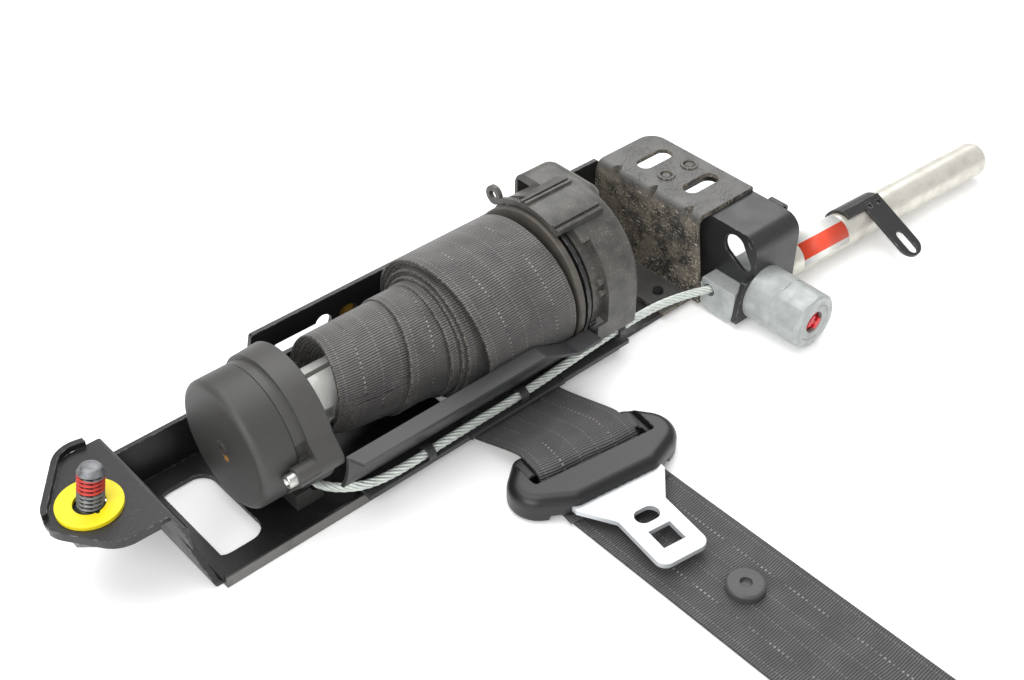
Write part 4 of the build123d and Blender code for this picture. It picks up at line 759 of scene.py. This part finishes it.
def strap_on_floor():
    """The run on the floor, to the plate at its end. Its start lies under the tongue."""
    x = strap_middle
    lift = belt_thick * 0.52
    route = tuple((x, y, lift) for y in (-38.0, -70.0, -100.0, -130.0, -160.0, -195.0, -226.0))
    mesh, length = strap_mesh("strap_on_floor", route)
    made = piece("strap_on_floor", mesh, belt, None, "webbing", "webbing_strap")
    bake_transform(made)


strap_to_tongue()
strap_on_floor()


# Small parts that thread, moulding and film finish

merge_gap = 1e-6


def softened(name, node, voxel, rounds, material, body, slot):
    """A moulded copy of a solid: one skin, with its edges and joints eased.
    Voxel is the skin's cell in millimetres, and rounds says how often it is smoothed."""
    mesh = nodes[node].data.copy()
    shape = bmesh.new()
    shape.from_mesh(mesh)
    bmesh.ops.remove_doubles(shape, verts=shape.verts, dist=merge_gap)
    shape.to_mesh(mesh)
    shape.free()
    mesh.materials.clear()
    holder = bpy.data.objects.new(name, mesh)
    bpy.context.scene.collection.objects.link(holder)
    skin = holder.modifiers.new("skin", "REMESH")
    skin.mode = "VOXEL"
    skin.voxel_size = voxel / 1000
    skin.use_smooth_shade = True
    ease = holder.modifiers.new("ease", "SMOOTH")
    ease.factor = 0.5
    ease.iterations = rounds
    bpy.context.view_layer.update()
    made = bpy.data.meshes.new_from_object(holder.evaluated_get(bpy.context.evaluated_depsgraph_get()))
    made.name = name
    bpy.data.objects.remove(holder)
    piece(name, made, material, body, slot, node)


softened("tongue_grip", "tongue_body", 0.5, 7, grip, "tongue", "tongue_plastic")


def loose_parts(node):
    """The separate closed parts of a node, each as its lowest and highest corners."""
    shape = bmesh.new()
    shape.from_mesh(nodes[node].data)
    bmesh.ops.remove_doubles(shape, verts=shape.verts, dist=merge_gap)
    left = set(shape.verts)
    boxes = []
    while left:
        group = [left.pop()]
        for vert in group:
            for edge in vert.link_edges:
                other = edge.other_vert(vert)
                if other in left:
                    left.remove(other)
                    group.append(other)
        boxes.append(tuple(Vector([pick(v.co[i] for v in group) for i in range(3)]) for pick in (min, max)))
    shape.free()
    return sorted(boxes, key=lambda b: tuple(round(c, 5) for c in b[0]))


bolt_radius = 4.9
thread_pitch = 1.75
thread_depth = 0.75
bolt_lean = Matrix.Rotation(radians(12.0), 4, "Y")
bolt_middle = Vector((-29.0, 34.0, 35.5))
thread_low = 0.6
thread_top = 16.4
patch_low = 8.2
patch_top = 14.4
head_flat = 7.5


def turned_rows(shape, rows, sides, place, shade=None):
    """Adds a closed turned form: each row is a height and a radius, or a radius by angle.
    Its faces take the material that shade gives for their height and radius."""
    angles = [tau * k / sides for k in range(sides)]
    radii = [[radius(a) if callable(radius) else radius for a in angles] for _, radius in rows]
    rings = [[shape.verts.new(place(r * cos(a), r * sin(a), height)) for a, r in zip(angles, row)]
             for (height, _), row in zip(rows, radii)]
    for i, (row, beyond) in enumerate(zip(rings, rings[1:])):
        for k in range(sides):
            face = shape.faces.new((row[k], row[(k + 1) % sides], beyond[(k + 1) % sides], beyond[k]))
            face.smooth = True
            if shade:
                face.material_index = shade(rows[i][0], radii[i][k])
    shape.faces.new(rings[0][::-1])
    shape.faces.new(rings[-1])


def hexagon_wall(flat):
    """The radius by angle of a hexagon with this distance from its middle to a flat."""
    return lambda angle: flat / cos((angle + pi / 6) % (pi / 3) - pi / 6)


def threaded_bolt():
    """The anchor bolt with its real thread, flange and hexagon, and a ring of red thread-locking patch."""
    def place(x, y, z):
        return at(*(bolt_middle + bolt_lean @ Vector((x, y, z))))

    def thread(height):
        def radius(angle):
            turn = (height / thread_pitch - angle / tau) % 1.0
            rise = min(max(abs(turn - 0.5) * 3.4 - 0.35, 0.0), 1.0)
            return bolt_radius - thread_depth * rise
        return radius

    shape = bmesh.new()
    step = thread_pitch / 8
    count = int((thread_top - thread_low) / step)
    heights = [thread_low + i * step for i in range(1, count)]
    point = ((0.0, 4.35), (0.5, 4.3), (0.8, 3.9), (1.2, 3.95), (1.6, 3.6), (2.0, 2.6), (2.2, 1.2))
    shank = [(-3.4, 4.4), (thread_low, 4.4)] + [(height, thread(height)) for height in heights]
    shank += [(thread_top + rise, radius) for rise, radius in point]

    def shade(height, radius):
        # Faces deep in the thread's grooves take index 2, the darker steel of painted shade
        if thread_low < height < thread_top and radius < bolt_radius - 0.6 * thread_depth:
            return 2
        return 1 if patch_low < height < patch_top else 0

    turned_rows(shape, shank, 40, place, shade)
    turned_rows(shape, [(-5.7, 8.9), (-5.5, 9.4), (-3.9, 9.5), (-3.5, 9.2), (-3.3, 8.6)], 48, place)
    head = [(-12.2, 6.4), (-12.1, hexagon_wall(head_flat - 0.5)),
            (-11.6, hexagon_wall(head_flat)), (-5.6, hexagon_wall(head_flat))]
    turned_rows(shape, head, 48, place)
    mesh = kept_mesh("threaded_bolt", shape)
    piece("threaded_bolt", mesh, phosphate, "bolt", "dark_steel", "anchor_bolt")
    mesh.materials.append(lock_patch)
    mesh.materials.append(thread_groove_shade)


threaded_bolt()


def socket_screws():
    """Cap screws of the spring housing, each with a chamfered head edge and a hexagon socket."""
    shape = bmesh.new()
    for low, high in loose_parts("housing_screws"):
        middle = (low + high) / 2
        radius = (high.z - low.z) * 500
        length = (high.x - low.x) * 1000

        def place(x, y, z):
            return Vector((low.x + z / 1000, middle.y + x / 1000, middle.z + y / 1000))

        socket = hexagon_wall(radius * 0.5)
        rows = [(length, radius * 0.9), (length - 0.3, radius), (0.45, radius), (0.12, radius * 0.9),
                (0.0, radius * 0.78), (0.02, radius * 0.62), (0.1, socket), (1.9, socket), (2.3, 0.3)]
        turned_rows(shape, rows, 36, place)
    mesh = kept_mesh("socket_screws", shape)
    piece("socket_screws", mesh, plated_steel, "frame", "bright_steel", "housing_screws")


socket_screws()

barrel_middle = Vector((263.0, -54.0, 13.5))


def barrel_face():
    """The cast ring that closes the barrel's end round its connector."""
    profile = [(0.15, 8.45), (0.0, 8.2), (0.0, 5.6), (0.35, 5.1), (2.2, 5.0), (2.4, 5.2), (2.4, 8.45)]
    sides = 48
    shape = bmesh.new()
    rings = [[shape.verts.new(at(barrel_middle.x + r * cos(tau * k / sides), barrel_middle.y + depth,
                                 barrel_middle.z + r * sin(tau * k / sides))) for k in range(sides)]
             for depth, r in profile]
    for row, beyond in zip(rings, rings[1:] + rings[:1]):
        for k in range(sides):
            shape.faces.new((row[k], row[(k + 1) % sides], beyond[(k + 1) % sides], beyond[k]))
    piece("barrel_face", kept_mesh("barrel_face", shape), zinc, "frame", "zinc")


def plug_lobes():
    """The red connector: a base in the recess and two lobes that stand out to the barrel's face."""
    turn = Matrix.Rotation(radians(-38), 2)
    base = [(4.7 * cos(tau * k / 24), 4.7 * sin(tau * k / 24)) for k in range(24)]
    lobe = [(0.5, 0.9), (1.5, 0.9), (1.5, 2.3), (2.2, 2.7), (3.3, 2.7), (4.2, 1.6), (4.2, -1.6), (3.3, -2.7),
            (2.2, -2.7), (1.5, -2.3), (1.5, -0.9), (0.5, -0.9)]
    other = [(-x, -y) for x, y in lobe]
    shape = bmesh.new()
    for outline, front in ((base, 2.4), (lobe, 0.1), (other, 0.1)):
        ends = []
        for depth in (front, 2.9):
            ring = []
            for x, z in outline:
                spot = turn @ Vector((x, z))
                ring.append(shape.verts.new(at(barrel_middle.x + spot.x, barrel_middle.y + depth,
                                               barrel_middle.z + spot.y)))
            ends.append(ring)
        count = len(outline)
        for k in range(count):
            shape.faces.new((ends[0][k], ends[0][(k + 1) % count], ends[1][(k + 1) % count], ends[1][k]))
        shape.faces.new(ends[0][::-1])
        shape.faces.new(ends[1])
    mesh = kept_mesh("plug_lobes", shape)
    made = piece("plug_lobes", mesh, red_nylon, "frame", "red_plastic", "igniter_plug")
    eased = made.modifiers.new("eased", "BEVEL")
    eased.width = 0.00025
    eased.segments = 2


barrel_face()
plug_lobes()


plate_low = (101.5, 67.05, 22.0)
plate_high = (125.0, 67.45, 42.0)


def window_plate():
    """A bare lacquered plate on the far side of the back wall, seen through its second window."""
    shape = bmesh.new()
    bmesh.ops.create_cube(shape, size=1.0)
    for vert in shape.verts:
        vert.co = at(*[plate_low[i] if vert.co[i] < 0 else plate_high[i] for i in range(3)])
    bmesh.ops.bevel(shape, geom=shape.edges[:], offset=0.00012, segments=2, affect="EDGES")
    piece("window_plate", kept_mesh("window_plate", shape), lacquer, "frame", "bright_steel")


window_plate()


tube_start = Vector((274.0, -13.0, 10.1))
tube_turn = Matrix.Rotation(radians(-3.16), 4, "Z")
film_radius = 8.58
film_from = 22.0
film_length = 30.0
film_low = radians(38)
film_high = radians(186)
# Bands round the tube: their shares of the film, and whether they are coloured
film_bands = ((0.0, 0.46, 0), (0.46, 0.835, 1), (0.835, 1.0, 0))


def tube_film():
    """A plain white film with one orange-red band round the near side of the tube, without print."""
    shape = bmesh.new()
    columns, rows = 24, 2
    for first, last, index in film_bands:
        grid = []
        for i in range(columns + 1):
            angle = film_low + (film_high - film_low) * (first + (last - first) * i / columns)
            line = []
            for j in range(rows + 1):
                x = film_from + film_length * j / rows
                spot = Vector((x, film_radius * cos(angle), film_radius * sin(angle)))
                line.append(shape.verts.new(at(*(tube_start + tube_turn @ spot))))
            grid.append(line)
        for line, beyond in zip(grid, grid[1:]):
            for j in range(rows):
                face = shape.faces.new((line[j], line[j + 1], beyond[j + 1], beyond[j]))
                face.smooth = True
                face.material_index = index
    bmesh.ops.remove_doubles(shape, verts=shape.verts, dist=merge_gap)
    mesh = kept_mesh("tube_film", shape)
    made = piece("tube_film", mesh, film_white, "frame", "tube_steel")
    mesh.materials.append(film_band)
    back = made.modifiers.new("film", "SOLIDIFY")
    back.thickness = 0.00008


tube_film()


# Floor, light and camera

# Each lamp: its name, its place and size in metres, and its power in watts
lamps = (("overhead", (-0.2, 0.3, 1.15), (1.0, 1.0), 8.0), ("left", (-1.05, -0.25, 0.7), (0.8, 0.8), 8.0),
         ("front", (-0.25, -1.25, 0.45), (1.2, 0.7), 2.0), ("back", (0.78, 0.86, 1.07), (1.1, 0.8), 9.0))
tent_strength = 0.58
card_glow = 0.16


def floor_and_light():
    """A pale table under an even tent, with one lamp above, one at the left, one in front and one behind."""
    mesh = bpy.data.meshes.new("table_top")
    half, level = 4.0, -0.0002
    corners = [(x * half, y * half, level) for x, y in ((-1, -1), (1, -1), (1, 1), (-1, 1))]
    mesh.from_pydata(corners, [], [(0, 1, 2, 3)])
    table = bpy.data.objects.new("table_top", mesh)
    bpy.context.scene.collection.objects.link(table)
    made, tree, shader, _ = surface("white_card", "#fbfbfb", 0.0, 0.9)
    shader.inputs["Specular IOR Level"].default_value = 0.1
    rays = add(tree, "ShaderNodeLightPath")
    seen = add(tree, "ShaderNodeMath", {0: rays.outputs["Is Camera Ray"], 1: rays.outputs["Is Glossy Ray"]},
               operation="MAXIMUM")
    glow = add(tree, "ShaderNodeEmission", {"Color": srgb("#fbfbf9"), "Strength": card_glow})
    both = add(tree, "ShaderNodeAddShader", {0: shader.outputs[0], 1: glow.outputs[0]})
    choose = add(tree, "ShaderNodeMixShader", {0: seen.outputs[0], 1: shader.outputs[0], 2: both.outputs[0]})
    tree.links.new(choose.outputs[0], tree.nodes["Material Output"].inputs["Surface"])
    mesh.materials.append(made)

    world = bpy.data.worlds.new("tent")
    bpy.context.scene.world = world
    world.use_nodes = True
    tree = world.node_tree
    tree.nodes.clear()
    rays = add(tree, "ShaderNodeLightPath")
    strength = add(tree, "ShaderNodeMix", {
        "Factor": rays.outputs["Is Camera Ray"], "A": tent_strength, "B": 1.0})
    sky = add(tree, "ShaderNodeBackground", {
        "Color": srgb("#ffffff"), "Strength": strength.outputs["Result"]})
    out = add(tree, "ShaderNodeOutputWorld")
    tree.links.new(sky.outputs[0], out.inputs["Surface"])

    for name, place, size, power in lamps:
        lamp = bpy.data.lights.new(name, "AREA")
        lamp.shape = "RECTANGLE"
        lamp.size, lamp.size_y = size
        lamp.energy = power
        holder = bpy.data.objects.new(name, lamp)
        bpy.context.scene.collection.objects.link(holder)
        holder.location = place
        aim = Vector((0, 0, 0.02)) - Vector(place)
        holder.rotation_euler = aim.to_track_quat("-Z", "Y").to_euler()


camera_middle = (-154.0, -321.6, 401.7)
camera_turn = radians(-42.19)
camera_tilt = radians(39.81)
camera_roll = radians(0.27)


def camera():
    """The camera that a fit of the photograph gave."""
    data = bpy.data.cameras.new("camera")
    data.sensor_width = 36.0
    data.lens = 50.72
    data.clip_end = 20
    holder = bpy.data.objects.new("camera", data)
    bpy.context.scene.collection.objects.link(holder)
    turn = (Matrix.Rotation(camera_turn, 4, "Z") @ Matrix.Rotation(pi / 2 - camera_tilt, 4, "X")
            @ Matrix.Rotation(camera_roll, 4, "Z"))
    holder.matrix_world = Matrix.Translation(at(*camera_middle)) @ turn
    bpy.context.scene.camera = holder


floor_and_light()
camera()
bpy.context.scene.view_settings.view_transform = "Standard"
